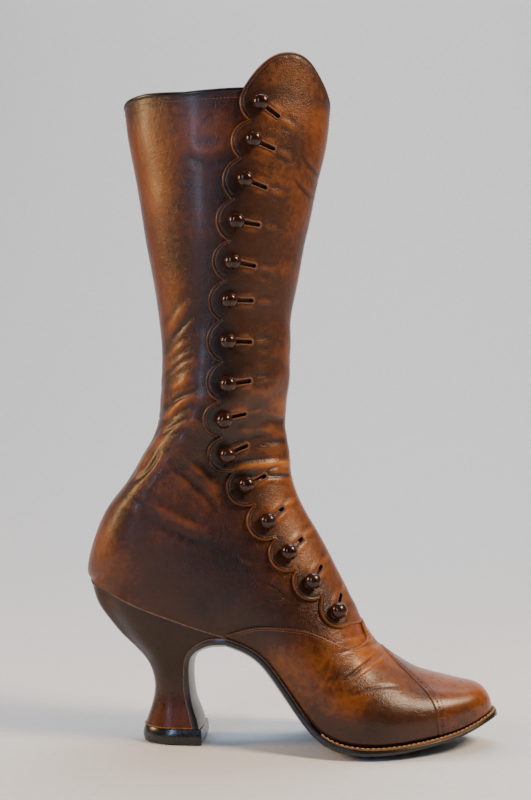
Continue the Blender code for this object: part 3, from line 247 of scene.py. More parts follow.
# Each section: bottom x and z, top x and z, then edge, belly, swing, ridge, widest, crown.
def skinSections():
    rows = []
    for table, width in ((forefootRows, last["ballWidth"]), (hindfootRows, last["seatWidth"])):
        for entry in table:
            cut = named(forefootColumns, entry)
            bottomX = cut["bottom"] * last["length"]
            bottomZ = featherHeight(cut["rise"], cut["spring"])
            rows.append((
                bottomX, bottomZ,
                bottomX + cut["lean"] * last["length"], bottomZ + cut["depth"] * last["instepDepth"],
                cut["edge"] * width, cut["belly"] * width,
                cut["swing"] * width, cut["ridge"] * width, cut["widest"], cut["crown"]))
    for entry in ankleRows:
        cut = named(ankleColumns, entry)
        rows.append((
            cut["back"] * last["length"], last["seatHeight"] + cut["backRise"] * last["legHeight"],
            cut["front"] * last["length"], last["seatHeight"] + cut["frontRise"] * last["legHeight"],
            0.0, cut["half"] * last["ankleWidth"], 0.0, 0.0, cut["widest"], 2.0))
    for entry in shaftRows:
        cut = named(shaftColumns, entry)
        middle = cut["middle"] * last["length"]
        reach = 0.5 * cut["deep"] * last["calfDepth"]
        height = last["seatHeight"] + cut["rise"] * last["legHeight"]
        rows.append((
            middle - reach, height, middle + reach, height + cut["tilt"] * last["legHeight"],
            0.0, cut["half"] * last["calfWidth"], 0.0, 0.0, cut["widest"], last["shaftCrown"]))
    return np.array(rows)


# Running distance from section to section, over its bottom and its top together.
def sectionPlaces():
    steps = np.linalg.norm(np.diff(sections[:, 0:4], axis=0), axis=1)
    return np.concatenate(([0.0], np.cumsum(steps)))


sections = skinSections()
sectionRun = sectionPlaces()
closingPlace = sectionRun[len(forefootRows) + len(hindfootRows) - 1]
collarPlace = sectionRun[-2]


# One half of a section from the feather edge up to the ridge, evenly spaced.
def halfSection(values, side, columns):
    bottomX, bottomZ, topX, topZ, edge, belly, swing, ridge, widest, crown = values
    tall = math.hypot(topX - bottomX, topZ - bottomZ)
    start = math.asin(min(0.97, edge / max(belly, 1e-6)))
    lower = np.linspace(start, 0.5 * math.pi, 40)
    upper = np.linspace(0.0, 0.5 * math.pi, 50)[1:]
    rise = widest * (1.0 - np.cos(lower) / math.cos(start))
    over = widest + (1.0 - widest) * np.sin(upper) ** (2.0 / crown)
    share = np.concatenate((rise, over))
    share[-1] = 1.0
    out = np.concatenate((belly * np.sin(lower), belly * np.cos(upper) ** (2.0 / crown)))
    out[-1] = 0.0
    points = np.empty((len(share), 3))
    points[:, 0] = bottomX + (topX - bottomX) * share
    points[:, 1] = swing + (ridge - swing) * share + side * out
    points[:, 2] = bottomZ + (topZ - bottomZ) * share
    run = np.concatenate(([0.0], np.cumsum(np.linalg.norm(np.diff(points, axis=0), axis=1))))
    wanted = np.linspace(0.0, run[-1], columns + 1)
    if tall < 1e-5:
        return np.repeat(points[:1], columns + 1, axis=0)
    return np.column_stack([np.interp(wanted, run, points[:, k]) for k in range(3)])


class Skin:

    def __init__(self):
        self.places = np.linspace(0.0, sectionRun[-1], last["rows"])
        values = spline(sectionRun, sections, self.places)
        values[:, 4] = np.clip(values[:, 4], 0.0, None)
        values[self.places >= closingPlace, 4] = 0.0
        rows = []
        for row in values:
            outer = halfSection(row, -1.0, last["halfColumns"])
            inner = halfSection(row, 1.0, last["halfColumns"])
            rows.append(np.vstack((outer, inner[::-1][1:])))
        self.points = np.array(rows)
        self.values = values
        self.girths = np.linalg.norm(np.diff(self.points, axis=1), axis=2).sum(axis=1)
        self.normals = self.findNormals()
        count = last["rows"] * (2 * last["halfColumns"] + 1)
        self.tree = KDTree(count)
        for k, point in enumerate(self.points.reshape(count, 3)):
            self.tree.insert(Vector(point), k)
        self.tree.balance()

    def findNormals(self):
        along = np.gradient(self.points, axis=0)
        around = np.gradient(self.points, axis=1)
        closed = self.places >= closingPlace
        joint = self.points[closed, 1] - self.points[closed, -2]
        around[closed, 0] = joint
        around[closed, -1] = joint
        normals = np.cross(around, along)
        normals[0] = (1.0, 0.0, 0.6)
        lengths = np.linalg.norm(normals, axis=2, keepdims=True)
        return normals / np.maximum(lengths, 1e-12)

    def read(self, grid, place, around):
        row = np.clip(np.asarray(place, float) / self.places[-1], 0.0, 1.0) * (last["rows"] - 1)
        column = np.clip(np.asarray(around, float), 0.0, 1.0) * (2 * last["halfColumns"])
        lowRow = np.minimum(row.astype(int), last["rows"] - 2)
        lowColumn = np.minimum(column.astype(int), 2 * last["halfColumns"] - 1)
        down = (row - lowRow)[..., None]
        right = (column - lowColumn)[..., None]
        near = grid[lowRow, lowColumn] * (1.0 - right) + grid[lowRow, lowColumn + 1] * right
        far = grid[lowRow + 1, lowColumn] * (1.0 - right) + grid[lowRow + 1, lowColumn + 1] * right
        return near * (1.0 - down) + far * down

    def at(self, place, around, offset=0.0):
        normal = self.read(self.normals, place, around)
        normal = normal / np.maximum(np.linalg.norm(normal, axis=-1, keepdims=True), 1e-12)
        return self.read(self.points, place, around) + normal * offset

    def girthAt(self, place):
        return np.interp(place, self.places, self.girths)

    def rest(self, place, lift):
        return np.minimum(0.3, lift / np.maximum(self.girthAt(place), 1e-4))

    def bottomAt(self, places):
        return np.column_stack([np.interp(places, self.places, self.values[:, k]) for k in (0, 1)])

    def nearest(self, point):
        spot = self.tree.find(Vector(point))[1]
        row, column = divmod(spot, 2 * last["halfColumns"] + 1)
        row = min(max(row, 1), last["rows"] - 2)
        column = min(max(column, 1), 2 * last["halfColumns"] - 1)
        along = 0.5 * (self.points[row + 1, column] - self.points[row - 1, column])
        around = 0.5 * (self.points[row, column + 1] - self.points[row, column - 1])
        system = np.column_stack((along, around))
        step = np.linalg.lstsq(system, point - self.points[row, column], rcond=None)[0]
        place = (row + step[0]) / (last["rows"] - 1) * self.places[-1]
        return float(place), float((column + step[1]) / (2 * last["halfColumns"]))

    def placeOfBottom(self, share):
        openRows = self.places <= closingPlace
        bottoms = self.values[openRows, 0]
        return np.interp(-np.asarray(share) * last["length"], -bottoms, self.places[openRows])

    def placeOfFront(self, height):
        return np.interp(height, self.values[:, 3], self.places)


skin = Skin()
print("last laid out")


# Place of a seam at each share around the section, alike on both sides of the ridge.
def seamPlace(table, around):
    entries = [named(seamColumns, row) for row in table]
    knots = [entry["around"] for entry in entries]
    folded = 0.5 - np.abs(np.asarray(around) - 0.5)
    shares = spline(knots, [[entry["place"]] for entry in entries], folded)[:, 0]
    return skin.placeOfBottom(shares)


# Whether flat spots lie inside an outline.
def inside(spots, outline):
    hit = np.zeros(len(spots), bool)
    for start, end in zip(np.roll(outline, 1, axis=0), outline):
        if start[1] == end[1]:
            continue
        crosses = (start[1] > spots[:, 1]) != (end[1] > spots[:, 1])
        reach = start[0] + (end[0] - start[0]) * (spots[:, 1] - start[1]) / (end[1] - start[1])
        hit ^= crosses & (spots[:, 0] < reach)
    return hit


# Each button's place on the skin, with the way along the row, outward and off the skin.
def buttonFrames():
    entries = [named(buttonColumns, row) for row in buttonRows]
    collar = last["seatHeight"] + last["legHeight"]
    places = skin.placeOfFront(np.array([entry["front"] for entry in entries]) * collar)
    around = np.array([entry["around"] for entry in entries])
    points = skin.at(places, around)
    normals = skin.at(places, around, 1.0) - points
    along = np.gradient(points, axis=0)
    along /= np.linalg.norm(along, axis=1, keepdims=True)
    outward = np.cross(along, normals)
    outward /= np.linalg.norm(outward, axis=1, keepdims=True)
    return [{"point": points[k], "normal": normals[k], "outward": outward[k],
             "along": np.cross(normals[k], outward[k]),
             "turn": math.radians(entries[k]["turn"]),
             "reach": entries[k]["reach"] * fly["scallopReach"],
             "notch": entries[k]["notch"] * fly["scallopReach"]} for k in range(len(entries))]


# Outline of the scallops down the fly, an arc round each button from notch to notch.
def scallopEdge(frames):
    notches = [fly["scallopStart"]]
    for upper, lower in zip(frames[:-1], frames[1:]):
        middle = 0.5 * (upper["point"] + lower["point"])
        side = upper["outward"] + lower["outward"]
        notches.append(middle + side / np.linalg.norm(side) * upper["notch"])
    notches.append(fly["scallopEnd"])
    edge = []
    for k, frame in enumerate(frames):
        flat = []
        for spot in (notches[k], None, notches[k + 1]):
            if spot is None:
                flat.append((0.0, frame["reach"]))
            elif len(spot) == 2:
                flat.append((spot[0] * fly["scallopReach"], spot[1] * fly["scallopReach"]))
            else:
                arm = spot - frame["point"]
                flat.append((arm @ frame["along"], arm @ frame["outward"]))
        centre, radius = circleThrough(*flat)
        angles = [math.atan2(spot[1] - centre[1], spot[0] - centre[0]) for spot in flat]
        turn = 1.0 if (angles[1] - angles[0]) % math.tau < (angles[2] - angles[0]) % math.tau else -1.0
        sweep = (turn * (angles[2] - angles[0])) % math.tau
        for n in range(fly["scallopSteps"] + (frame is frames[-1])):
            angle = angles[0] + turn * sweep * n / fly["scallopSteps"]
            along = centre[0] + radius * math.cos(angle)
            outward = centre[1] + radius * math.sin(angle)
            edge.append(frame["point"] + frame["along"] * along + frame["outward"] * outward)
    return edge


# Centre and radius of the circle through three points.
def circleThrough(a, b, c):
    d = 2.0 * (a[0] * (b[1] - c[1]) + b[0] * (c[1] - a[1]) + c[0] * (a[1] - b[1]))
    squares = [p[0] ** 2 + p[1] ** 2 for p in (a, b, c)]
    x = (squares[0] * (b[1] - c[1]) + squares[1] * (c[1] - a[1]) + squares[2] * (a[1] - b[1])) / d
    y = (squares[0] * (c[0] - b[0]) + squares[1] * (a[0] - c[0]) + squares[2] * (b[0] - a[0])) / d
    return (x, y), math.hypot(a[0] - x, a[1] - y)


# Bottom line of the skin at these places, with its upward normal in the side view.
def featherFrames(places):
    line = skin.bottomAt(places)
    ahead = skin.bottomAt(places - 0.001)
    behind = skin.bottomAt(places + 0.001)
    run = ahead - behind
    run /= np.linalg.norm(run, axis=1, keepdims=True)
    return line, np.column_stack((-run[:, 1], run[:, 0]))


# Height of the feather edge, carried on past the toe tip at its own slope.
def featherZ(x):
    openRows = skin.places <= closingPlace
    line = skin.values[openRows, 0:2][::-1]
    beyond = np.maximum(0.0, np.asarray(x) - line[-1, 0])
    slope = (line[-1, 1] - line[-10, 1]) / (line[-1, 0] - line[-10, 0])
    return np.interp(x, line[:, 0], line[:, 1]) + slope * beyond


def weltReach():
    return last["gap"] + toeCap["thickness"] + last["fit"] + welt["width"]


# Plan of the feather edge moved out by reach, at the height of the feather edge.
def edgePoints(places, reach, side):
    around = np.full(len(places), 0.0 if side < 0 else 1.0)
    points = skin.at(places, around)
    normal = skin.at(places, around, 1.0) - points
    normal[:, 2] = 0.0
    normal /= np.linalg.norm(normal, axis=1, keepdims=True)
    points = points + normal * np.asarray(reach)[..., None]
    points[:, 2] = featherZ(points[:, 0])
    return points


def heelHeight(share):
    low = topLift["height"] + last["fit"]
    return low + share * (last["seatHeight"] - low)


def heelRings():
    fine = spline(range(len(heelRows)), heelRows, np.linspace(0.0, len(heelRows) - 1.0, heel["rings"]))
    rings = []
    for row in fine:
        cut = named(heelColumns, row)
        rings.append({
            "back": np.array((cut["backX"] * last["length"], heelHeight(cut["backZ"]))),
            "inner": np.array((cut["innerX"] * last["length"], heelHeight(cut["innerZ"]))),
            "outer": np.array((cut["outerX"] * last["length"], heelHeight(cut["outerZ"]))),
            "seat": min(1.0, max(0.0, cut["seat"])), "narrow": min(1.0, max(0.0, cut["narrow"]))})
    first = rings[0]
    first["back"][0] = float(skin.bottomAt(np.array([closingPlace]))[0, 0])
    lift = float(featherZ(first["inner"][0])) - last["fit"] - first["inner"][1]
    for ring in rings:
        ring["inner"][1] += lift * ring["seat"] ** 2
        ring["outer"][1] += lift * ring["seat"] ** 2
    return rings


# Outer and inner half widths of the seat at a distance along the boot.
def seatHalf(x):
    openRows = skin.places <= closingPlace
    line = skin.values[openRows][::-1]
    edge = np.interp(x, line[:, 0], line[:, 4])
    swing = np.interp(x, line[:, 0], line[:, 6])
    return edge, swing


def lowHalf(ring):
    return 0.5 * (heel["baseWidth"] + (heel["neckWidth"] - heel["baseWidth"]) * ring["narrow"])


# Half widths and swing of a heel ring at shares of its length from the back.
def ringHalves(ring, shares):
    corner = np.sqrt(1.0 - (1.0 - np.minimum(shares / heel["corner"], 1.0)) ** 2)
    seat = heelRings()[0]
    edge, swing = seatHalf(seat["back"][0] + (seat["inner"][0] - seat["back"][0]) * shares)
    rounded = np.sqrt(1.0 - (1.0 - np.minimum(shares / heel["round"], 1.0)) ** 2)
    low = lowHalf(ring) * rounded
    return ring["seat"] * edge * corner + (1.0 - ring["seat"]) * low, ring["seat"] * swing


# Cross-sections of the sole from the toe to the foot of the breast.
def soleStations():
    entries = [named(soleColumns, row) for row in soleRows]
    knots = [-entry["bottom"] for entry in entries]
    end = float(skin.placeOfBottom(heelRows[0][heelColumns.index("innerX")])) - 2.0 * sole["edge"]
    places = np.linspace(0.00001, end, sole["stations"])
    line, up = featherFrames(places)
    shares = [[entry[name] for name in ("margin", "edge", "depth")] for entry in entries]
    values = np.column_stack([np.interp(-line[:, 0] / last["length"], knots, column)
                              for column in np.array(shares).T])
    reach = values[:, 0] * weltReach()
    left = edgePoints(places, reach, -1)
    right = edgePoints(places, reach, 1)
    stations = []
    for k in range(len(places)):
        normal = np.array((up[k, 0], 0.0, up[k, 1]))
        depth = values[k, 2] * sole["shankDepth"]
        stations.append({
            "left": left[k] - normal * last["fit"], "right": right[k] - normal * last["fit"],
            "down": -normal * depth, "edge": values[k, 1] * sole["edge"] / depth, "floor": True})
    sideMargin = entries[-1]["margin"] * weltReach()
    for ring in heelRings():
        half, swing = ringHalves(ring, np.array([1.0]))
        wide = half[0] + sideMargin * ring["seat"]
        inner, outer = ring["inner"], ring["outer"]
        down = outer - inner
        edge = sole["flapEdge"] + (stations[len(places) - 1]["edge"] - sole["flapEdge"]) * ring["seat"]
        stations.append({
            "left": np.array((inner[0], swing[0] - wide, inner[1])),
            "right": np.array((inner[0], swing[0] + wide, inner[1])),
            "down": np.array((down[0], 0.0, down[1])), "edge": edge, "floor": False})
    return stations


# Creases of the worn leather, placed on the side view of the boot: the side they are
# on (-1 outer, 1 inner, 0 both), height (a trough is negative) and width, then the points of
# the line as x and z, all in millimetres.
creases = (
    (-1, 0.9, 3.2, ((67, 262), (58, 253), (50, 244))),
    (-1, -0.8, 1.8, ((70, 256), (60, 246), (51, 237))),
    (-1, 0.8, 2.2, ((64, 238), (57, 234), (49, 228))),
    (-1, -0.9, 1.6, ((68, 230), (58, 225), (49, 219))),
    (-1, 1.2, 3.6, ((67, 219), (61, 215), (53, 210))),
    (-1, -1.2, 1.8, ((70, 210), (60, 206), (50, 201))),
    (-1, 1.1, 3.0, ((66, 205), (57, 200), (49, 192))),
    (-1, -0.9, 1.6, ((66, 195), (57, 190), (47, 183))),
    (-1, 0.8, 2.4, ((60, 172), (71, 163), (83, 150))),
    (-1, -0.9, 2.2, ((56, 166), (68, 156), (82, 141))),
    (-1, 0.7, 3.0, ((37, 146), (54, 138), (68, 131), (80, 128))),
    (-1, -0.6, 2.6, ((34, 139), (52, 130), (68, 123), (84, 121))),
    (0, 0.8, 2.2, ((45, 182), (37, 170), (31, 156))),
    (0, -1.2, 1.7, ((48, 176), (41, 164), (27, 153))),
    (0, -0.9, 1.4, ((25, 149), (32, 147), (42, 141))),
    (0, -0.7, 1.5, ((39, 196), (47, 192), (56, 193))),
    (0, 0.7, 2.4, ((24, 144), (32, 141), (40, 135))),
    (-1, 1.3, 2.4, ((84, 163), (100, 166), (124, 167))),
    (-1, -1.2, 2.0, ((88, 158), (103, 160), (126, 159))),
    (-1, -0.5, 1.8, ((108, 100), (116, 96), (124, 88))),
    (-1, 0.5, 1.8, ((93, 115), (103, 109))),
    (-1, -1.0, 2.0, ((154, 43), (163, 49), (173, 55))),
    (-1, 0.7, 2.6, ((159, 43), (169, 49), (179, 53))),
    (0, -0.8, 2.2, ((150, 58), (167, 60), (184, 57))),
    (0, 0.6, 2.6, ((150, 63), (165, 65), (180, 62))),
    (-1, -0.6, 2.0, ((158, 35), (173, 39), (189, 38))),
    (-1, -0.5, 1.6, ((146, 38), (151, 46), (153, 55))),
    (-1, 0.5, 1.8, ((141, 38), (146, 47), (148, 56))),
    (-1, -0.6, 1.5, ((129, 346), (135, 339), (141, 332))),
    (-1, -0.6, 1.5, ((124, 333), (130, 327), (139, 318))),
    (-1, -0.5, 2.4, ((66, 343), (78, 339), (93, 344))),
    (-1, 0.5, 3.5, ((66, 350), (78, 347), (92, 352))),
    (-1, -0.5, 2.5, ((104, 196), (114, 193), (121, 197))),
    (-1, -0.5, 2.5, ((106, 181), (114, 180), (122, 183))),
    (-1, 0.5, 3.0, ((86, 190), (98, 187), (112, 189))),
    (1, -1.0, 2.2, ((52, 218), (64, 208), (80, 206))),
    (1, 1.0, 3.0, ((50, 210), (63, 201), (82, 199))),
    (1, -1.0, 2.2, ((46, 196), (62, 190), (84, 188))),
    (1, 0.9, 3.0, ((45, 187), (63, 181), (88, 178))),
    (1, -0.9, 2.4, ((52, 170), (74, 165), (98, 168), (118, 170))),
    (1, 0.8, 3.0, ((42, 158), (62, 148), (86, 146))),
    (1, -0.7, 2.6, ((36, 140), (58, 132), (84, 128))),
    (1, -0.9, 2.0, ((154, 42), (165, 47), (176, 56))),
    (1, 0.6, 2.6, ((160, 38), (171, 43), (182, 52))),
    (1, -0.6, 3.0, ((60, 300), (80, 292), (104, 296))),
    (1, 0.5, 3.5, ((58, 310), (80, 304), (106, 307))),
)

# How the creases are drawn: shares of the table's heights and widths, less over the vamp, the
# steps of each line, how many widths a crease reaches, and the low bank beside it.
creasing = {
    "height": 0.62, "width": 0.72, "vampHeight": 0.62, "vampWidth": 0.55, "vampFrom": 140.0,
    "steps": 24, "reach": 3.5, "fade": 0.6, "bank": 0.35, "sideFade": 0.006}


def crease(points):
    total = np.zeros(len(points))
    flat = points[:, [0, 2]] * 1000.0
    for side, height, width, line in creases:
        steps = np.linspace(0.0, len(line) - 1.0, creasing["steps"])
        path = spline(range(len(line)), line, steps) if len(line) > 2 else np.column_stack(
            [np.interp(steps, (0, 1), [spot[k] for spot in line]) for k in (0, 1)])
        height, width = height * creasing["height"], width * creasing["width"]
        if line[0][0] > creasing["vampFrom"]:
            height, width = height * creasing["vampHeight"], width * creasing["vampWidth"]
        reach = creasing["reach"] * width
        low, high = path.min(axis=0) - reach, path.max(axis=0) + reach
        near = np.nonzero(((flat > low) & (flat < high)).all(axis=1))[0]
        if not len(near):
            continue
        starts, arms = path[:-1], np.diff(path, axis=0)
        offset = flat[near][:, None] - starts[None]
        along = np.clip((offset * arms).sum(axis=2) / (arms ** 2).sum(axis=1), 0.0, 1.0)
        away = np.linalg.norm(offset - along[..., None] * arms, axis=2)
        closest = away.argmin(axis=1)
        distance = away[np.arange(len(near)), closest]
        run = (closest + along[np.arange(len(near)), closest]) / len(arms)
        fade = np.sin(np.pi * np.clip(run, 0.0, 1.0)) ** creasing["fade"]
        bank = creasing["bank"] * np.exp(-((distance - 2.0 * width) / width) ** 2)
        shape = np.exp(-(distance / width) ** 2) - bank
        over = points[near, 1] * side
        keep = 1.0 if side == 0 else np.clip(over / creasing["sideFade"], 0.0, 1.0)
        total[near] += height * fade * shape * keep
    return total * 0.001


# Softly uneven leather: low waves everywhere, more of them where the ankle bends.
softness = {
    "wave": 0.024, "height": 0.00032, "ankleWave": 0.0085, "ankleHeight": 0.00048, "ankleMiddle": 0.192,
    "ankleReach": 0.042, "ballShare": 0.55, "ballMiddle": 0.166, "ballReach": 0.022, "ballBelow": 0.09,
    "stretch": (0.7, 1.0, 1.3)}


def swell(points):
    bend = np.exp(-((points[:, 2] - softness["ankleMiddle"]) / softness["ankleReach"]) ** 2)
    ball = np.exp(-((points[:, 0] - softness["ballMiddle"]) / softness["ballReach"]) ** 2)
    bend += softness["ballShare"] * ball * (points[:, 2] < softness["ballBelow"])
    low = np.array([noise.noise(Vector(p) / softness["wave"]) for p in points])
    drawn = points * np.array(softness["stretch"])
    fine = np.array([noise.noise(Vector(p) / softness["ankleWave"]) for p in drawn])
    return softness["height"] * low + softness["ankleHeight"] * fine * bend


# The relief fades out at the toe, at the lasted edge and towards the collar: for each, where
# it starts and over what distance. A share of it is left at the collar itself.
fading = {"toe": (0.002, 0.03), "feather": (0.003, 0.010), "collar": 0.012, "collarShare": 0.15}


def relief(points, places):
    places = np.asarray(places)
    fade = np.clip((places - fading["toe"][0]) / fading["toe"][1], 0.0, 1.0)
    above = points[:, 2] - featherZ(points[:, 0]) - fading["feather"][0]
    feather = np.where(places > closingPlace, 1.0, np.clip(above / fading["feather"][1], 0.0, 1.0))
    collar = np.clip((collarPlace - places) / fading["collar"], 0.0, 1.0)
    kept = fading["collarShare"]
    top = np.where(places > collarPlace, 0.0, kept + (1.0 - kept) * collar)
    return (crease(points) + swell(points)) * fade * feather * top


def shaped(places, around, offset):
    spots = skin.at(places, around)
    normals = skin.at(places, around, 1.0) - spots
    lift = relief(spots, places)
    return spots + normals * (np.asarray(offset) + lift)[:, None], lift, normals


# Painted light and shade on the leather, with some burnish: patches made lighter where light falls
# and darker where shade falls, as the side it is on, the middle and the reach over the side view
# in millimetres, and how much lighter it is.
paintedLightAndBurnish = (
    (-1, (88, 250), (24, 120), -0.26), (-1, (44, 345), (16, 34), 0.20), (-1, (50, 262), (14, 30), 0.10),
    (-1, (96, 92), (44, 34), -0.30), (0, (8, 125), (12, 26), 0.16), (-1, (52, 118), (20, 20), -0.12),
    (0, (132, 128), (24, 44), 0.22), (0, (176, 64), (22, 14), 0.26), (0, (172, 16), (44, 15), -0.26),
    (0, (226, 40), (20, 12), 0.22), (0, (60, 210), (14, 24), 0.08), (-1, (110, 360), (22, 40), 0.05),
    (0, (70, 378), (60, 5), -0.14),
)


# Sum of the painted light and shade patches at each point.
def paintedLightAndBurnishAt(points):
    total = np.zeros(len(points))
    flat = np.asarray(points)[:, [0, 2]] * 1000.0
    for side, middle, reach, amount in paintedLightAndBurnish:
        keep = 1.0 if side == 0 else np.clip(np.asarray(points)[:, 1] * side / 0.010 + 0.5, 0.0, 1.0)
        total += amount * keep * np.exp(-(((flat - middle) / reach) ** 2).sum(axis=1))
    return total


def makePiece(name, points, faces, material, replaced=(), tone=None, sharp=None):
    mesh = bpy.data.meshes.new(name)
    mesh.from_pydata((np.asarray(points) + np.array(last["origin"])).tolist(), [], faces)
    mesh.update()
    mesh.shade_smooth()
    if sharp:
        mesh.set_sharp_from_angle(angle=math.radians(sharp))
    if tone is not None:
        mark = mesh.attributes.new("tone", "FLOAT", "POINT")
        # The painted light and shade patches are added to the tone here.
        shade = np.clip(np.asarray(tone) + paintedLightAndBurnishAt(points), 0.0, 1.0)
        mark.data.foreach_set("value", shade.astype(np.float32))
    mesh.materials.append(material)
    piece = bpy.data.objects.new(name, mesh)
    bpy.context.scene.collection.objects.link(piece)
    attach(piece, "root")
    if replaced:
        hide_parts(*replaced)
    return piece


def gridFaces(rows, columns, wrapRows=False, wrapColumns=False, flip=False, start=0):
    faces = []
    for i in range(rows if wrapRows else rows - 1):
        for j in range(columns if wrapColumns else columns - 1):
            a = start + i * columns + j
            b = start + i * columns + (j + 1) % columns
            c = start + (i + 1) % rows * columns + (j + 1) % columns
            d = start + (i + 1) % rows * columns + j
            faces.append((d, c, b, a) if flip else (a, b, c, d))
    return faces


# Length along a line of points.
def runOf(points):
    return np.concatenate(([0.0], np.cumsum(np.linalg.norm(np.diff(points, axis=0), axis=1))))


# A line read again at even steps.
def evenly(points, step=None, count=None):
    run = runOf(points)
    wanted = np.linspace(0.0, run[-1], count or max(2, int(run[-1] / step) + 1))
    return np.column_stack([np.interp(wanted, run, points[:, k]) for k in range(points.shape[1])])


# A round bead along a line, with ways off the surface to set its section by.
def tube(points, normals, radius, sides=8, closed=False, squash=1.0):
    along = np.gradient(points, axis=0)
    if closed:
        along = np.roll(points, -1, axis=0) - np.roll(points, 1, axis=0)
    along /= np.maximum(np.linalg.norm(along, axis=1, keepdims=True), 1e-12)
    across = np.cross(along, normals)
    across /= np.maximum(np.linalg.norm(across, axis=1, keepdims=True), 1e-12)
    up = np.cross(across, along)
    radius = np.broadcast_to(np.asarray(radius, float), (len(points),))[:, None]
    rings = []
    for k in range(sides):
        angle = 2.0 * math.pi * k / sides
        rings.append(points + across * radius * math.cos(angle) + up * radius * squash * math.sin(angle))
    grid = np.stack(rings, axis=1)
    faces = gridFaces(len(points), sides, closed, True)
    if not closed:
        faces += [tuple(range(sides)), tuple(range((len(points) - 1) * sides, len(points) * sides))[::-1]]
    return grid.reshape(-1, 3), faces


# Many beads as one mesh.
def joined(parts):
    points, faces, count = [], [], 0
    for spots, loops in parts:
        points.append(spots)
        faces += [tuple(c + count for c in loop) for loop in loops]
        count += len(spots)
    return np.vstack(points), faces


# Separate stitches along a line: each a short thread that dips into the leather at its ends.
def stitches(points, normals, pitch, length, radius):
    both = evenly(np.hstack((points, normals)), step=pitch * 0.25)
    spots, ways = both[:, :3], both[:, 3:]
    ways /= np.linalg.norm(ways, axis=1, keepdims=True)
    run = runOf(spots)
    middles = np.arange(0.5 * pitch, run[-1], pitch)
    parts = []
    for middle in middles:
        wanted = middle + np.linspace(-0.5, 0.5, 5) * length
        line = np.column_stack([np.interp(wanted, run, spots[:, k]) for k in range(3)])
        way = np.column_stack([np.interp(wanted, run, ways[:, k]) for k in range(3)])
        line = line + way * radius * np.array((-0.9, 0.35, 0.75, 0.35, -0.9))[:, None]
        parts.append(tube(line, way, radius * np.array((0.6, 1.0, 1.0, 1.0, 0.6)), sides=6))
    return parts


# Linear colour of an sRGB hex code.
def colour(code):
    parts = [int(code[k:k + 2], 16) / 255.0 for k in (0, 2, 4)]
    return (*[p / 12.92 if p <= 0.04045 else ((p + 0.055) / 1.055) ** 2.4 for p in parts], 1.0)


# Adds a node: its properties by name, its sockets by number or name, and sockets as links.
def addNode(tree, kind, **settings):
    node = tree.nodes.new(kind)
    sockets = settings.pop("sockets", {})
    for key, value in settings.items():
        setattr(node, key, value)
    for key, value in sockets.items():
        if isinstance(value, bpy.types.NodeSocket):
            tree.links.new(value, node.inputs[key])
        else:
            node.inputs[key].default_value = value
    return node


def newMaterial(name, **surface):
    material = bpy.data.materials.new(name)
    material.use_nodes = True
    tree = material.node_tree
    shader = tree.nodes["Principled BSDF"]
    for key, value in surface.items():
        shader.inputs[key.replace("_", " ")].default_value = value
    where = addNode(tree, "ShaderNodeTexCoord").outputs["Object"]
    return material, tree, shader, where


def noiseOf(tree, where, size, detail=3.0, rough=0.5, distort=0.0):
    return addNode(tree, "ShaderNodeTexNoise", sockets={
        "Vector": where, "Scale": 1.0 / size, "Detail": detail, "Roughness": rough,
        "Distortion": distort}).outputs["Fac"]


def ramp(tree, value, stops):
    node = addNode(tree, "ShaderNodeValToRGB", sockets={"Fac": value})
    while len(node.color_ramp.elements) < len(stops):
        node.color_ramp.elements.new(0.5)
    for element, (spot, code) in zip(node.color_ramp.elements, stops):
        element.position = spot
        element.color = colour(code)
    return node.outputs["Color"]


def blend(tree, operation, first, second, third=None):
    sockets = {0: first, 1: second}
    if third is not None:
        sockets[2] = third
    return addNode(tree, "ShaderNodeMath", operation=operation, sockets=sockets).outputs[0]


# Glazed calf: aniline dyed and burnished, so that folds rub light and hollows stay dark; its
# tone attribute also carries painted light and shade. Its pores sit about 0.7 mm apart, under a
# thin wax finish that breaks the highlights up.
def glazedCalf(name, look):
    material, tree, shader, where = newMaterial(
        name, IOR=1.5, Coat_Weight=look["coat"], Coat_Roughness=look["coatRough"], Specular_IOR_Level=0.34)
    tone = addNode(tree, "ShaderNodeAttribute", attribute_name="tone").outputs["Fac"]
    cloud = noiseOf(tree, where, look["cloud"], 3.0, 0.55, 0.4)
    fleck = noiseOf(tree, where, look["fleck"], 6.0, 0.60, 0.3)
    worn = blend(tree, "MULTIPLY_ADD", cloud, 0.22, blend(tree, "MULTIPLY_ADD", fleck, 0.26, -0.20))
    worn = blend(tree, "ADD", worn, blend(tree, "MULTIPLY", tone, 0.80))
    stops = ((0.12, look["deep"]), (0.38, look["dark"]), (0.62, look["middle"]), (0.92, look["light"]))
    tint = ramp(tree, worn, stops)
    tree.links.new(tint, shader.inputs["Base Color"])
    least = look["rough"] - 0.5 * look["roughSpread"]
    rough = blend(tree, "MULTIPLY_ADD", fleck, look["roughSpread"], least)
    tree.links.new(rough, shader.inputs["Roughness"])
    pores = addNode(tree, "ShaderNodeTexVoronoi", feature="SMOOTH_F1", sockets={
        "Vector": where, "Scale": 1.0 / look["pores"], "Smoothness": 0.5}).outputs["Distance"]
    cracks = noiseOf(tree, where, look["wrinkle"], 7.0, 0.62, 1.2)
    first = addNode(tree, "ShaderNodeBump", sockets={
        "Height": cracks, "Strength": look["wrinkleStrength"], "Distance": 0.0007})
    second = addNode(tree, "ShaderNodeBump", sockets={
        "Height": pores, "Strength": look["poreStrength"], "Distance": 0.00034, "Normal": first.outputs[0]})
    tree.links.new(second.outputs[0], shader.inputs["Normal"])
    return material


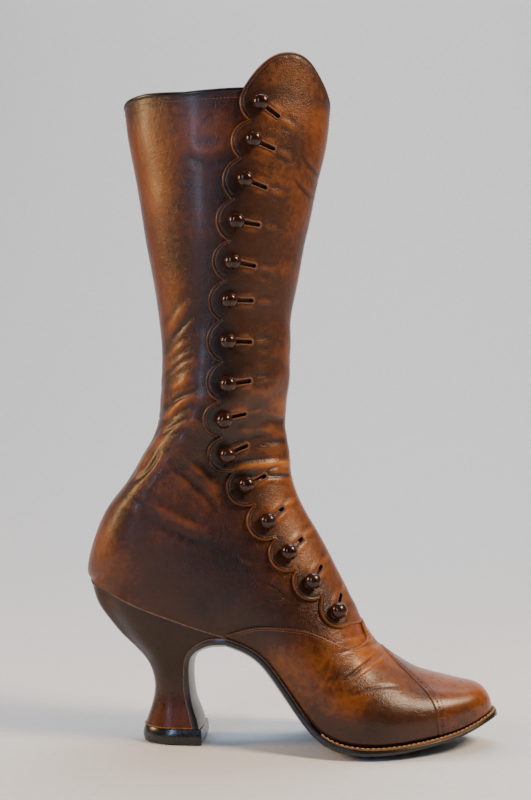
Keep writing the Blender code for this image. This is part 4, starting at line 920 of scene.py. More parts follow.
calfLook = {
    "deep": "170A03", "dark": "3A1A07", "middle": "7A3E0E", "light": "B87420", "rough": 0.34,
    "roughSpread": 0.22, "coat": 0.12, "coatRough": 0.20, "cloud": 0.026, "fleck": 0.0036,
    "pores": 0.00078, "poreStrength": 0.38,
    "wrinkle": 0.0046, "wrinkleStrength": 0.62}
quarterCalf = glazedCalf("glazed_calf_quarters", calfLook)
# The vamp and cap copies are lighter and the heel copy darker than the quarters: partly the leather's own
# tone, partly painted light and shade.
vampCalf = glazedCalf("glazed_calf_vamp", {
    **calfLook, "dark": "40200A", "middle": "8C4C10", "light": "D08424", "rough": 0.32,
    "wrinkleStrength": 0.26})
capCalf = glazedCalf("glazed_calf_cap", {
    **calfLook, "dark": "44200A", "middle": "945012", "light": "D48A28", "rough": 0.30,
    "wrinkleStrength": 0.10, "poreStrength": 0.20})
flyCalf = glazedCalf("glazed_calf_fly", {
    **calfLook, "dark": "3C1D08", "middle": "80440E", "light": "C07A22", "rough": 0.38,
    "wrinkleStrength": 0.30})
heelCalf = glazedCalf("glazed_calf_heel", {
    **calfLook, "deep": "120803", "dark": "2C1406", "middle": "54290B", "light": "7C4412", "rough": 0.30,
    "wrinkleStrength": 0.08, "poreStrength": 0.20})


# Plain surfaces with a small bump: thread, edges, welt, lining, glass.
def simpleSurface(name, stops, rough, size, bump=0.3, depth=0.0002, detail=4.0, **surface):
    material, tree, shader, where = newMaterial(name, **surface)
    spread = noiseOf(tree, where, size, detail, 0.6, 0.2)
    tree.links.new(ramp(tree, spread, stops), shader.inputs["Base Color"])
    shade = blend(tree, "MULTIPLY_ADD", spread, 0.16, rough - 0.08)
    tree.links.new(shade, shader.inputs["Roughness"])
    relief = addNode(tree, "ShaderNodeBump", sockets={"Height": spread, "Strength": bump, "Distance": depth})
    tree.links.new(relief.outputs[0], shader.inputs["Normal"])
    return material


# Cut edge of the calf, stained and rubbed: lighter than the grain side, with a dull shine.
cutEdge = simpleSurface("rubbed_calf_edge", ((0.3, "5A3010"), (0.7, "946028")), 0.46, 0.0012)
# Waxed linen thread: matt, fibrous, a little lighter than the leather it sinks into.
linenThread = simpleSurface("waxed_linen_thread", ((0.3, "4A2612"), (0.7, "8A5430")), 0.60, 0.0004)
# Narrow piping of dyed calf: a shade lighter than the heel, rubbed along its crown.
dyedPiping = simpleSurface("dyed_calf_piping", ((0.3, "3E2A1C"), (0.75, "80624A")), 0.44, 0.0014)
# Silk twist round the buttonholes: dark with a soft sheen along the turns.
silkTwist = simpleSurface("silk_twist", ((0.3, "3A1C0C"), (0.75, "7C4820")), 0.50, 0.0006)
# Undyed linen of the welt stitch: pale, matt, picked out against the tan.
weltThread = simpleSurface("pale_linen_thread", ((0.3, "8E6C40"), (0.7, "BE9C64")), 0.65, 0.0004)
# Oak-bark tanned welt: tan, dry, darker where wax has soaked in.
weltLeather = simpleSurface("oak_bark_welt", ((0.3, "4C2E14"), (0.7, "84582C")), 0.56, 0.0016, 0.4)
# Blacked and burnished sole edge: nearly black under wax, with a broad soft shine.
blackedEdge = simpleSurface("burnished_sole_edge", ((0.3, "0B0908"), (0.75, "1C1613")), 0.34, 0.0030, 0.25,
                            Coat_Weight=0.25, Coat_Roughness=0.25)
# Waxed black top-lift: harder and glossier than the sole, scuffed dull in spots.
blackLift = simpleSurface("waxed_lift_leather", ((0.3, "080707"), (0.8, "1D1917")), 0.27, 0.0022, 0.25,
                          Coat_Weight=0.3, Coat_Roughness=0.2)
# Insole of natural belly leather: pale tan, matt, darkened by wear.
insoleLeather = simpleSurface("natural_insole_leather", ((0.3, "8A6238"), (0.7, "BE9560")), 0.66, 0.0060, 0.3)
# Punched holes in painted shade: near black discs stand for the shade inside each hole.
holeShade = simpleSurface("punched_hole_shade", ((0.3, "0A0504"), (0.7, "1A0D08")), 0.70, 0.0010)
# Pressed black glass with a brown cast: deep, with small hard highlights.
buttonGlass = simpleSurface("pressed_dark_glass", ((0.3, "1C0C05"), (0.8, "3E1C0B")), 0.20, 0.0040, 0.05,
                            Specular_IOR_Level=0.34, Coat_Weight=0.15, Coat_Roughness=0.06, IOR=1.5)


# Cotton drill lining: steep twill lines about 0.6 mm apart, matt and off-white with handling.
def cottonDrill():
    material, tree, shader, where = newMaterial("cotton_drill_lining", Roughness=0.85)
    turned = addNode(tree, "ShaderNodeMapping", sockets={"Vector": where, "Rotation": (0.0, 0.6, 0.9)})
    twill = addNode(tree, "ShaderNodeTexWave", sockets={
        "Vector": turned.outputs[0], "Scale": 1.0 / (0.0006 * 6.28), "Distortion": 0.6,
        "Detail": 2.0}).outputs["Fac"]
    soil = noiseOf(tree, where, 0.020, 4.0, 0.6)
    tree.links.new(ramp(tree, soil, ((0.3, "8F7F63"), (0.7, "C9BC9C"))), shader.inputs["Base Color"])
    weave = addNode(tree, "ShaderNodeBump", sockets={"Height": twill, "Strength": 0.5, "Distance": 0.0003})
    tree.links.new(weave.outputs[0], shader.inputs["Normal"])
    return material


liningDrill = cottonDrill()
print("materials ready:", len(bpy.data.materials))


def toneOf(lift):
    return np.clip(0.5 + np.asarray(lift) / 0.0022, 0.0, 1.0)


quarters = {
    "wall": 0.0018, "toeRows": 50, "rows": 380, "columns": 210, "backSeam": 0.00045, "seamWidth": 0.0008,
    "binding": 0.0016, "seamInset": 0.0021, "collarInset": 0.0060, "pitch": 0.0021, "stitch": 0.0017}
# Rise of the collar in millimetres, by the share around from the back to the front.
collarWave = {
    "around": (0.0, 0.05, 0.11, 0.19, 0.27, 0.34, 0.5), "rise": (-0.4, 1.3, 1.9, 0.2, 1.8, 3.0, 3.0),
    "below": 0.050}


# Upper: quarters and leg, one skin from the toe to the collar, closed by a seam at the back.
# The collar isn't quite level: it rises a little at the back and towards the fly.
def collarRise(places, around):
    folded = 0.5 - np.abs(np.asarray(around) - 0.5)
    wave = np.interp(folded, collarWave["around"], collarWave["rise"]) * 0.001
    below = collarWave["below"]
    near = np.clip((np.asarray(places) - collarPlace + below) / below, 0.0, 1.0) ** 2
    return np.column_stack((np.zeros(len(wave)), np.zeros(len(wave)), wave * near))


def makeQuarters():
    start = float(seamPlace(vampSeam, np.linspace(0.0, 1.0, 41)).min()) - 0.02
    rows = np.concatenate((np.linspace(0.0005, start, quarters["toeRows"], endpoint=False),
                           np.linspace(start, collarPlace, quarters["rows"])))
    around = np.linspace(0.0, 1.0, quarters["columns"] + 1)
    place, share = (grid.ravel() for grid in np.meshgrid(rows, around, indexing="ij"))
    away = np.minimum(share, 1.0 - share) * skin.girthAt(place)
    seam = -quarters["backSeam"] * np.exp(-(away / quarters["seamWidth"]) ** 2) * (place > closingPlace)
    points, lift, _ = shaped(place, share, seam)
    points += collarRise(place, share)
    faces = gridFaces(len(rows), len(around))
    makePiece("quarters", points, faces, quarterCalf, ("upper",), toneOf(lift + seam))
    rows = np.linspace(0.0005, collarPlace, 150)
    around = np.linspace(0.0, 1.0, 81)
    place, share = (grid.ravel() for grid in np.meshgrid(rows, around, indexing="ij"))
    points, _, _ = shaped(place, share, -quarters["wall"])
    points += collarRise(place, share)
    makePiece("lining", points, gridFaces(len(rows), len(around), flip=True), liningDrill, ("upper",))
    ring = np.linspace(0.0, 1.0, 241)[:-1]
    spots = skin.at(np.full(240, collarPlace), ring, -0.5 * quarters["wall"])
    ways = skin.at(np.full(240, collarPlace), ring, 1.0) - skin.at(np.full(240, collarPlace), ring)
    spots = spots + collarRise(np.full(240, collarPlace), ring)
    bead = tube(spots - np.array((0.0, 0.0, 0.0003)), ways, quarters["binding"], 12, closed=True)
    makePiece("collar_binding", *bead, heelCalf, ("upper",), np.full(len(bead[0]), 0.3))
    below = np.full(240, collarPlace - quarters["collarInset"])
    spots, _, ways = shaped(below, ring, 0.0)
    seams = stitches(spots + collarRise(below, ring), ways, quarters["pitch"], quarters["stitch"], 0.00022)
    rows = np.linspace(closingPlace + 0.004, collarPlace - 0.002, 400)
    for side in (quarters["seamInset"], -quarters["seamInset"]):
        share = side / skin.girthAt(rows)
        spots, _, ways = shaped(rows, np.where(share > 0.0, share, 1.0 + share), 0.0)
        seams += stitches(spots, ways, quarters["pitch"], quarters["stitch"], 0.00020)
    makePiece("quarter_stitching", *joined(seams), linenThread, ("upper",))


# Steps along a strip, close together where its edges round over.
def edgedSteps(length, count, width, firstEdge=True, lastEdge=True):
    close = np.array((0.0, 0.04, 0.15, 0.35, 0.65, 1.0, 1.5)) * width
    middle = np.linspace(close[-1] if firstEdge else 0.0, length - (close[-1] if lastEdge else 0.0), count)
    parts = [close[:-1]] if firstEdge else []
    parts.append(middle)
    if lastEdge:
        parts.append(length - close[:-1][::-1])
    return np.concatenate(parts)


def roundOver(distance, width):
    return np.sqrt(np.clip(1.0 - (1.0 - np.clip(distance / width, 0.0, 1.0)) ** 2, 0.0, 1.0))


# A leather panel over the skin between two lines of places, with its edges rounded down.
def panel(first, final, columns, count, thickness, width, firstEdge=True):
    around = np.linspace(0.0, 1.0, columns + 1)
    shares = np.linspace(0.0, 1.0, 40)
    grid = []
    heights = []
    for j, spot in enumerate(around):
        line = first[j] + (final[j] - first[j]) * shares
        rest = skin.rest(line, toeCap["lift"])
        run = runOf(skin.at(line, rest + (1.0 - 2.0 * rest) * spot))
        steps = edgedSteps(run[-1], count, width, firstEdge)
        place = np.interp(steps, run, line)
        rest = skin.rest(place, toeCap["lift"])
        share = rest + (1.0 - 2.0 * rest) * spot
        height = roundOver(run[-1] - steps, width)
        if firstEdge:
            height = height * roundOver(steps, width)
        side = min(spot, 1.0 - spot) * skin.girthAt(place)
        height = height * roundOver(side + 0.0002, width)
        grid.append(np.column_stack((place, share)))
        heights.append(height)
    flat = np.array(grid)
    heights = np.array(heights)
    lifted = last["gap"] + (thickness + 0.0003) * heights.ravel() - 0.0003
    points, lift, _ = shaped(flat[..., 0].ravel(), flat[..., 1].ravel(), lifted)
    return points, lift, gridFaces(flat.shape[0], flat.shape[1], flip=True)


# Stitches over a panel, at a distance in from its back seam.
def seamStitches(seam, inset, height, pitch=0.0016, radius=0.0002, ends=(0.02, 0.98)):
    around = np.linspace(*ends, 300)
    back = seamPlace(seam, around)
    ahead = back - 0.012
    run = np.linalg.norm(skin.at(back, around) - skin.at(ahead, around), axis=1)
    place = back - 0.012 * inset / np.maximum(run, 1e-6)
    rest = skin.rest(place, toeCap["lift"])
    share = rest + (1.0 - 2.0 * rest) * around
    spots, _, ways = shaped(place, share, height)
    return stitches(spots, ways, pitch, pitch * 0.78, radius), (place, share)


vamp = {
    "thickness": 0.0012, "rows": 120, "columns": 180, "round": 0.0010, "under": 0.004,
    "insets": (0.0016, 0.0034)}


def makeVamp():
    around = np.linspace(0.0, 1.0, vamp["columns"] + 1)
    first = seamPlace(capSeam, around) - vamp["under"]  # its front edge lies under the cap
    final = seamPlace(vampSeam, around)
    points, lift, faces = panel(
        first, final, vamp["columns"], vamp["rows"], vamp["thickness"], vamp["round"], False)
    makePiece("vamp_panel", points, faces, vampCalf, ("vamp",), toneOf(lift))
    seams = []
    for inset in vamp["insets"]:
        seams += seamStitches(vampSeam, inset, last["gap"] + vamp["thickness"])[0]
    makePiece("vamp_stitching", *joined(seams), linenThread, ("vamp",))


# The cap's edge has a row of stitches each side of a row of large and small holes.
toeCap = {
    "thickness": 0.0017, "rows": 90, "columns": 170, "lift": 0.0023, "round": 0.0012,
    "insets": (0.0013, 0.0062), "holeInset": 0.0038, "holeStep": 0.0018, "holes": (0.00070, 0.00042)}


# A flat punched hole.
def hole(centre, normal, radius, sides=14):
    side = np.cross(normal, (0.0, 1.0, 0.3))
    side /= np.linalg.norm(side)
    cross = np.cross(normal, side)
    points = [centre]
    for k in range(sides):
        angle = 2.0 * math.pi * k / sides
        points.append(centre + (side * math.cos(angle) + cross * math.sin(angle)) * radius)
    return np.array(points), [(0, k + 1, (k + 1) % sides + 1) for k in range(sides)]


def makeCap():
    around = np.linspace(0.0, 1.0, toeCap["columns"] + 1)
    first = np.full(len(around), 0.00001)
    final = seamPlace(capSeam, around)
    points, lift, faces = panel(
        first, final, toeCap["columns"], toeCap["rows"], toeCap["thickness"], toeCap["round"], False)
    makePiece("toe_cap_panel", points, faces, capCalf, ("toe_cap",), toneOf(lift))
    seams = []
    for inset in toeCap["insets"]:
        seams += seamStitches(capSeam, inset, last["gap"] + toeCap["thickness"])[0]
    makePiece("cap_stitching", *joined(seams), linenThread, ("toe_cap",))
    _, (place, share) = seamStitches(capSeam, toeCap["holeInset"], 0.0)
    spots, _, ways = shaped(place, share, last["gap"] + toeCap["thickness"] + 0.00006)
    both = evenly(np.hstack((spots, 0.0001 * ways)), step=toeCap["holeStep"])
    holes = []
    for k, row in enumerate(both):
        way = row[3:] / np.linalg.norm(row[3:])
        holes.append(hole(row[:3], way, toeCap["holes"][k % 2]))
    # The holes are flat discs coloured in painted shade.
    makePiece("cap_perforations", *joined(holes), holeShade, ("toe_cap",))


fly = {
    "scallopReach": 0.0122, "scallopStart": (-0.45, 0.88), "scallopEnd": (0.90, -0.15), "scallopSteps": 48,
    "thickness": 0.0020, "peak": 0.0245, "foot": 0.474, "round": 0.0011, "seam": 0.5, "skive": 0.0060,
    "border": 0.0021, "groove": 0.00022, "mesh": 0.0012,
    "rings": (0.00012, 0.0003, 0.0006, 0.0011), "ringGap": 0.0003, "clear": 0.0015, "rowShare": 1.45,
    "placeScale": 0.69, "footGap": 0.0009, "probe": 0.0008, "ridgeInset": 0.0024}
# Leather pulled at each button: a dimple under it, lips along the slot and puckers at its end,
# each as a height and the place and reach along and across the slot.
pulled = {
    "dimple": (0.00055, 0.0052), "lip": (0.00035, 0.0075, 0.0075, 0.0033, 0.0013),
    "pucker": (0.00030, 0.019, 0.0045, 0.0011, 0.0045), "edge": 0.004}
# Two cords lie round each buttonhole: margin out from the slot, radius and rise.
buttonhole = {
    "length": 0.0164, "width": 0.0027, "turns": 0.00062,
    "cords": ((0.00025, 0.00058, 0.0001), (0.00105, 0.00030, -0.00008))}


# Places and shares of points that lie near the skin.
def flattened(points):
    return np.array([skin.nearest(point) for point in points])


# Ways along a buttonhole, towards the front of the boot, and across it.
def slotWays(frame):
    inward = -frame["outward"] * math.cos(frame["turn"]) + frame["along"] * math.sin(frame["turn"])
    return inward, np.cross(frame["normal"], inward)


# Outline of a buttonhole, stood out by a margin.
def slotLine(frame, margin, count):
    inward, across = slotWays(frame)
    half = 0.5 * buttonhole["width"]
    near = half - 0.5 * button["shank"] - 0.0016
    far = near + buttonhole["length"] - 2.0 * half
    wide = half + margin
    arc = np.linspace(0.5 * math.pi, 1.5 * math.pi, 13)
    flat = [(near + wide * math.cos(a), wide * math.sin(a)) for a in arc]
    flat += [(far - wide * math.cos(a), -wide * math.sin(a)) for a in arc]
    flat.append(flat[0])
    line = np.array([frame["point"] + inward * x + across * y for x, y in flat])
    return evenly(line, count=count + 1)[:-1]


# The fly's outline as places and shares: its foot, the ridge of the boot, its peak and the
# scallops. Also which points are scalloped, and the places of the ridge's two ends.
def flyOutline(frames):
    seam = np.linspace(fly["foot"], 0.5, 9)
    foot = np.column_stack((seamPlace(vampSeam, seam) + fly["footGap"], seam))
    peakEntries = [named(peakColumns, row) for row in peakRows]
    lifts = np.array([entry["lift"] for entry in peakEntries])
    tops = skin.placeOfFront(last["seatHeight"] + last["legHeight"] + lifts * fly["peak"])
    peak = np.column_stack((tops, [entry["around"] for entry in peakEntries]))
    ridge = np.column_stack((np.linspace(foot[-1, 0], tops[0], 420)[1:-1], np.full(418, 0.5)))
    peak = spline(range(len(peak)), peak, np.linspace(0.0, len(peak) - 1.0, 90))
    outline = np.vstack((foot, ridge, peak, flattened(scallopEdge(frames))))
    return outline, np.arange(len(outline)) >= len(foot) + len(ridge), (foot[-1, 0], tops[0])


# A function that gives points' distances from an edge, and whether the nearest edge is marked.
def edgeDistances(edge, marked):
    tree = KDTree(len(edge))
    for k, point in enumerate(edge):
        tree.insert(Vector(point), k)
    tree.balance()

    def distances(points):
        found = [tree.find(Vector(point)) for point in points]
        return np.array([spot[2] for spot in found]), np.array([marked[spot[1]] for spot in found])

    return distances


# Ways into the sheet from each point of its edge, along the skin.
def waysInward(outline, edge):
    normals = skin.at(outline[:, 0], outline[:, 1], 1.0) - edge
    along = np.roll(edge, -1, axis=0) - np.roll(edge, 1, axis=0)
    along /= np.maximum(np.linalg.norm(along, axis=1, keepdims=True), 1e-9)
    inwards = np.cross(along, normals)
    probe = flattened(edge[::20] + inwards[::20] * fly["probe"])
    return -inwards if inside(probe, outline).mean() < 0.5 else inwards


# Even points inside the outline, clear of its edge, the slots and the stitched groove.
def flyLattice(outline, slots, girth, distances):
    low, high = outline.min(axis=0), outline.max(axis=0)
    lattice = []
    for i, row in enumerate(np.arange(low[0], high[0], fly["mesh"] * fly["rowShare"])):
        shares = np.arange(low[1], high[1], fly["mesh"] / girth) + (i % 2) * 0.5 * fly["mesh"] / girth
        lattice.append(np.column_stack((np.full(len(shares), row), shares)))
    lattice = np.vstack(lattice)
    lattice = lattice[inside(lattice, outline)]
    for slot in slots:
        near = (np.abs(lattice - slot.mean(axis=0)) < (0.02, 0.08)).all(axis=1)
        hit = np.zeros(len(lattice), bool)
        hit[near] = inside(lattice[near], slot)
        lattice = lattice[~hit]
    away = distances(skin.at(lattice[:, 0], lattice[:, 1]))[0]
    return lattice[(away > fly["clear"]) & (np.abs(away - fly["border"]) > 2.0 * fly["ringGap"])]


# The sheet as flat points and triangles, fine along its edge, with the slots left open.
def flyMesh(frames, outline, edge, inwards, distances):
    size = len(outline)
    spots = [tuple(spot) for spot in outline]
    edges = [(k, (k + 1) % size) for k in range(size)]
    gap = fly["ringGap"]
    for depth in (*fly["rings"], fly["border"] - gap, fly["border"], fly["border"] + gap):
        moved = edge + inwards * depth
        away = distances(moved)[0]
        spots += [tuple(spot) for spot in flattened(moved[away > depth * 0.97])]
    slots = [flattened(slotLine(frame, 0.0, 44)) for frame in frames]
    for slot in slots:
        base = len(spots)
        spots += [tuple(spot) for spot in slot]
        edges += [(base + k, base + (k + 1) % len(slot)) for k in range(len(slot))]
    girth = float(skin.girthAt(outline[:, 0].mean()))
    spots += [tuple(spot) for spot in flyLattice(outline, slots, girth, distances)]
    scale = np.array((fly["placeScale"], girth))
    result = delaunay_2d_cdt([Vector(spot * scale) for spot in np.array(spots)], edges, [], 0, 0.00002)
    flat = np.array([tuple(spot) for spot in result[0]]) / scale
    triangles = np.array([list(face) for face in result[2]])
    middles = flat[triangles].mean(axis=1)
    kept = inside(middles, outline)
    for slot in slots:
        near = (np.abs(middles - slot.mean(axis=0)) < (0.03, 0.12)).all(axis=1)
        kept[np.nonzero(near)[0][inside(middles[near], slot)]] = False
    triangles = triangles[kept]
    a, b, c = (flat[triangles[:, k]] for k in range(3))
    turn = (b[:, 0] - a[:, 0]) * (c[:, 1] - a[:, 1]) - (b[:, 1] - a[:, 1]) * (c[:, 0] - a[:, 0])
    triangles[turn > 0.0] = triangles[turn > 0.0][:, ::-1]
    return flat, triangles


# Height of the leather pulled about by its buttons.
def pulledBy(frames, points, away):
    pull = np.zeros(len(points))
    for frame in frames:
        arm = points - frame["point"]
        inward, across = slotWays(frame)
        x, y = arm @ inward, arm @ across
        high, reach = pulled["dimple"]
        pull -= high * np.exp(-((x ** 2 + y ** 2) / reach ** 2))
        high, middle, reach, side, width = pulled["lip"]
        pull += high * np.exp(-(((x - middle) / reach) ** 2)) * np.exp(-((np.abs(y) - side) / width) ** 2)
        high, middle, reach, wave, width = pulled["pucker"]
        pull += high * np.exp(-(((x - middle) / reach) ** 2)) * np.cos(y / wave) * np.exp(-(y / width) ** 2)
    return pull * roundOver(away, pulled["edge"])


# The same flat triangles above and below, with sides between them.
def sheetFaces(triangles, count):
    faces = []
    sides = set()
    for a, b, c in triangles.tolist():
        faces += [(a, b, c), (c + count, b + count, a + count)]
        sides |= {(a, b), (b, c), (c, a)}
    faces += [(b, a, a + count, b + count) for a, b in sorted(sides) if (b, a) not in sides]
    return faces


# A row of stitches inside the scallops, and one along the ridge of the boot.
def makeFlyStitching(edge, inwards, scalloped, ends, distances):
    line = edge + inwards * fly["border"]
    keep = np.nonzero(scalloped & (distances(line)[0] > fly["border"] * 0.93))[0]
    seams = []
    for run in np.split(keep, np.nonzero(np.diff(keep) > 1)[0] + 1):
        if len(run) < 6:
            continue
        flatLine = flattened(line[run])
        points, _, ways = shaped(flatLine[:, 0], flatLine[:, 1], last["gap"] + fly["thickness"] - 0.00012)
        seams += stitches(points, ways, 0.0017, 0.0013, 0.00019)
    rows = np.linspace(ends[0] + 0.004, ends[1] - 0.001, 500)
    share = 0.5 - fly["ridgeInset"] / skin.girthAt(rows)
    points, _, ways = shaped(rows, share, last["gap"] + fly["thickness"] * (fly["seam"] + 0.2))
    seams += stitches(points, ways, 0.0019, 0.0015, 0.00020)
    makePiece("fly_stitching", *joined(seams), linenThread, ("button_fly",))


# Worked buttonholes: a corded bead round each slot, its turns of silk showing as ripples.
def makeButtonholes(frames):
    beads = []
    for frame in frames:
        for margin, radius, rise in buttonhole["cords"]:
            line = flattened(slotLine(frame, margin, 210))
            points, _, ways = shaped(line[:, 0], line[:, 1], last["gap"] + fly["thickness"] + rise)
            ripple = 1.0 + 0.16 * np.sin(2.0 * math.pi * runOf(points) / buttonhole["turns"])
            beads.append(tube(points, ways, radius * ripple, 7, closed=True, squash=0.9))
    makePiece("buttonhole_twist", *joined(beads), silkTwist, ("button_fly",))


# The button fly: a scalloped sheet with rolled edges, a stitched border and worked slots.
def makeFly(frames):
    outline, scalloped, ends = flyOutline(frames)
    edge = skin.at(outline[:, 0], outline[:, 1])
    distances = edgeDistances(edge, scalloped)
    inwards = waysInward(outline, edge)
    flat, triangles = flyMesh(frames, outline, edge, inwards, distances)
    base = skin.at(flat[:, 0], flat[:, 1])
    away, rim = distances(base)
    front = (0.5 - flat[:, 1]) * skin.girthAt(flat[:, 0]) / fly["skive"]
    thick = fly["thickness"] * (fly["seam"] + (1.0 - fly["seam"]) * np.clip(front, 0.0, 1.0))
    profile = roundOver(away, fly["round"])
    groove = -fly["groove"] * np.exp(-((away - fly["border"]) / 0.00028) ** 2) * rim
    rolled = 0.00025 * np.exp(-((away - 0.0010) / 0.0006) ** 2) * rim
    pull = pulledBy(frames, base, away)
    height = last["gap"] + 0.0003 + (thick - 0.0003) * profile + groove + rolled + pull
    top, lift, _ = shaped(flat[:, 0], flat[:, 1], height)
    under, _, _ = shaped(flat[:, 0], flat[:, 1], np.full(len(flat), last["gap"]))
    # The tone follows the lift and is darker in the stitched groove and the button dimples; the 0.8 mm rim is
    # lighter, partly edge wear and partly a painted highlight; the fly is darker within a few millimetres of
    # the scallops.
    tone = toneOf(lift + groove * 3.0 + pull * 1.3) + 0.30 * rim * (away < 0.0008)
    tone -= 0.12 * rim * np.exp(-(away / 0.006) ** 2)
    makePiece("scalloped_fly", np.vstack((top, under)), sheetFaces(triangles, len(flat)), flyCalf,
              ("button_fly",), np.concatenate((tone, np.full(len(flat), 0.35))), sharp=55.0)
    makeFlyStitching(edge, inwards, scalloped, ends, distances)
    makeButtonholes(frames)


# The dome goes from the seat to the crown, as shares of the half width and the height.
button = {
    "diameter": 0.0098, "height": 0.0082, "shank": 0.0017, "sides": 40,
    "dome": ((0.42, 0.01), (0.74, 0.07), (0.95, 0.22), (1.0, 0.40), (0.95, 0.60), (0.78, 0.80),
             (0.50, 0.94), (0.20, 0.993), (0.004, 1.0))}


def makeButtons(frames):
    half = 0.5 * button["diameter"]
    seat = last["gap"] + fly["thickness"] + last["fit"]
    tall = button["height"]
    shank = 0.5 * button["shank"]
    dome = [(share * half, seat + rise * tall) for share, rise in button["dome"]]
    profile = np.array([(shank, last["gap"]), (shank, seat)] + dome)
    curve = spline(range(len(profile)), profile, np.linspace(1.0, len(profile) - 1.0, 40))
    curve = np.vstack((profile[:1], curve))
    sides = button["sides"]
    for number, frameHere in enumerate(frames, 1):
        side = frameHere["along"]
        cross = np.cross(frameHere["normal"], side)
        points = []
        for radius, height in curve:
            for k in range(sides):
                angle = 2.0 * math.pi * k / sides
                spoke = side * math.cos(angle) + cross * math.sin(angle)
                points.append(frameHere["point"] + frameHere["normal"] * height + spoke * radius)
        faces = gridFaces(len(curve), sides, wrapColumns=True)
        faces.append(tuple(range((len(curve) - 1) * sides, len(curve) * sides)))
        makePiece("glass_button_%02d" % number, points, faces, buttonGlass, ("button_%02d" % number,))


heel = {"round": 0.62, "corner": 0.050, "neckWidth": 0.024, "baseWidth": 0.031, "rings": 72, "steps": 26}


def makeHeel():
    rings = heelRings()
    steps = heel["steps"]
    shares = np.array([1.0 - math.cos(0.5 * math.pi * k / steps) for k in range(steps + 1)])
    inner = np.array([ring["inner"] for ring in rings])
    run = np.gradient(inner, axis=0)
    run /= np.linalg.norm(run, axis=1, keepdims=True)
    towardHeel = np.column_stack((run[:, 1], -run[:, 0]))
    points = []
    for k, ring in enumerate(rings):
        front = inner[k] + towardHeel[k] * last["fit"]
        half, swing = ringHalves(ring, shares)
        spine = ring["back"] + (front - ring["back"]) * shares[:, None]
        if k == 0:
            spine[:, 1] = featherZ(spine[:, 0]) - last["fit"]
        loop = [(spine[n, 0], swing[n] + half[n], spine[n, 1]) for n in range(steps, -1, -1)]
        loop += [(spine[n, 0], swing[n] - half[n], spine[n, 1]) for n in range(1, steps + 1)]
        points += loop
    size = 2 * steps + 1
    faces = gridFaces(len(rings), size, wrapColumns=True, flip=True)
    points = np.array(points)
    for start, flip in ((0, False), ((len(rings) - 1) * size, True)):
        for n in range(steps):
            loop = [start + n, start + n + 1, start + size - 2 - n, start + size - 1 - n]
            if loop[1] == loop[2]:
                loop.pop(2)
            faces.append(tuple(loop[::-1] if flip else loop))
    height = points[:, 2] / last["seatHeight"]
    tone = 0.42 + 0.25 * np.exp(-(height - 0.15) ** 2 / 0.02)
    makePiece("covered_heel", points, faces, heelCalf, ("heel",), tone, sharp=50.0)
    order = points[(len(rings) - 1) * size:] + np.array((0.0, 0.0, 0.0005))
    ways = order - order.mean(axis=0)
    ways[:, 2] = 0.0
    ways /= np.linalg.norm(ways, axis=1, keepdims=True)
    bead = tube(order + ways * 0.00005, ways, 0.00042, 8)
    makePiece("heel_base_bead", *bead, cutEdge, ("heel",))


# The lift's outline from top to floor: its height as a share and how far it stands out.
topLift = {
    "height": 0.0094, "steps": 30,
    "profile": ((1.0, -0.0004), (1.0, 0.0001), (0.93, 0.0005), (0.62, 0.0012), (0.45, 0.0014),
                (0.36, 0.00135), (0.12, 0.0008), (0.04, 0.0002), (0.0, -0.0008))}


def makeTopLift():
    base = heelRings()[-1]
    steps = topLift["steps"]
    points = []
    for height, out in topLift["profile"]:
        back = base["back"][0] - out
        front = base["outer"][0] + 0.3 * out
        half = lowHalf(base) + out
        for side in (1.0, -1.0):
            for n in (range(steps, -1, -1) if side > 0 else range(1, steps + 1)):
                share = 1.0 - math.cos(0.5 * math.pi * n / steps)
                rounded = math.sqrt(1.0 - (1.0 - min(share / heel["round"], 1.0)) ** 2)
                x = back + (front - back) * share
                points.append((x, side * half * rounded, height * topLift["height"]))
    size = 2 * steps + 1
    faces = gridFaces(len(topLift["profile"]), size, wrapColumns=True, flip=True)
    foot = (len(topLift["profile"]) - 1) * size
    faces += [tuple(range(size)), tuple(range(foot, foot + size))[::-1]]
    makePiece("waxed_top_lift", points, faces, blackLift, ("top_lift",), sharp=40.0)


sole = {
    "edge": 0.0030, "shankDepth": 0.0078, "flapEdge": 0.74, "stations": 170, "across": 18, "randFrom": 0.56}


def makeSole():
    stations = soleStations()
    across = np.linspace(-1.0, 1.0, 2 * sole["across"] + 1)
    points = []
    for station in stations:
        middle = 0.5 * (station["left"] + station["right"])
        arm = 0.5 * (station["right"] - station["left"])
        for s in across:
            share = station["edge"] + (1.0 - station["edge"]) * (1.0 - abs(s) ** 2.2)
            point = middle + arm * s + station["down"] * share
            if station["floor"]:
                point[2] = max(0.0, point[2])
            points.append(point)
        for down in (0.75, 0.5, 0.25, 0.0):
            swell = 1.0 + 0.012 * math.sin(math.pi * down)
            points.append(middle + arm * swell + station["down"] * station["edge"] * down)
        for s in (0.5, 0.0, -0.5):
            points.append(middle + arm * s)
        for down in (0.0, 0.25, 0.5, 0.75):
            swell = 1.0 + 0.012 * math.sin(math.pi * down)
            points.append(middle - arm * swell + station["down"] * station["edge"] * down)
    size = len(across) + 11
    points = np.array(points)
    points[:, 2] = np.maximum(points[:, 2], 0.0)
    faces = gridFaces(len(stations), size, wrapColumns=True, flip=True)
    faces += [tuple(range(size)), tuple(range((len(stations) - 1) * size, len(stations) * size))[::-1]]
    makePiece("blacked_sole", points, faces, blackedEdge, ("outsole",), sharp=38.0)
    # A fine rand shows along the top of the sole through the waist and down the breast.
    rand = []
    for key, sign in (("left", -1.0), ("right", 1.0)):
        behind = sole["randFrom"] * last["length"]
        line = np.array([station[key] for station in stations if station["left"][0] < behind])
        ways = np.tile((0.0, sign, 0.0), (len(line), 1))
        radius = np.interp(np.arange(len(line)), (0, 12), (0.00005, 0.00040))
        rand.append(tube(line - ways * 0.00012, ways, radius, 8))
    makePiece("waist_rand", *joined(rand), dyedPiping, ("outsole",))


welt = {"width": 0.0020, "thickness": 0.0010, "end": 0.585, "stitch": 0.0030, "thread": 0.00034}


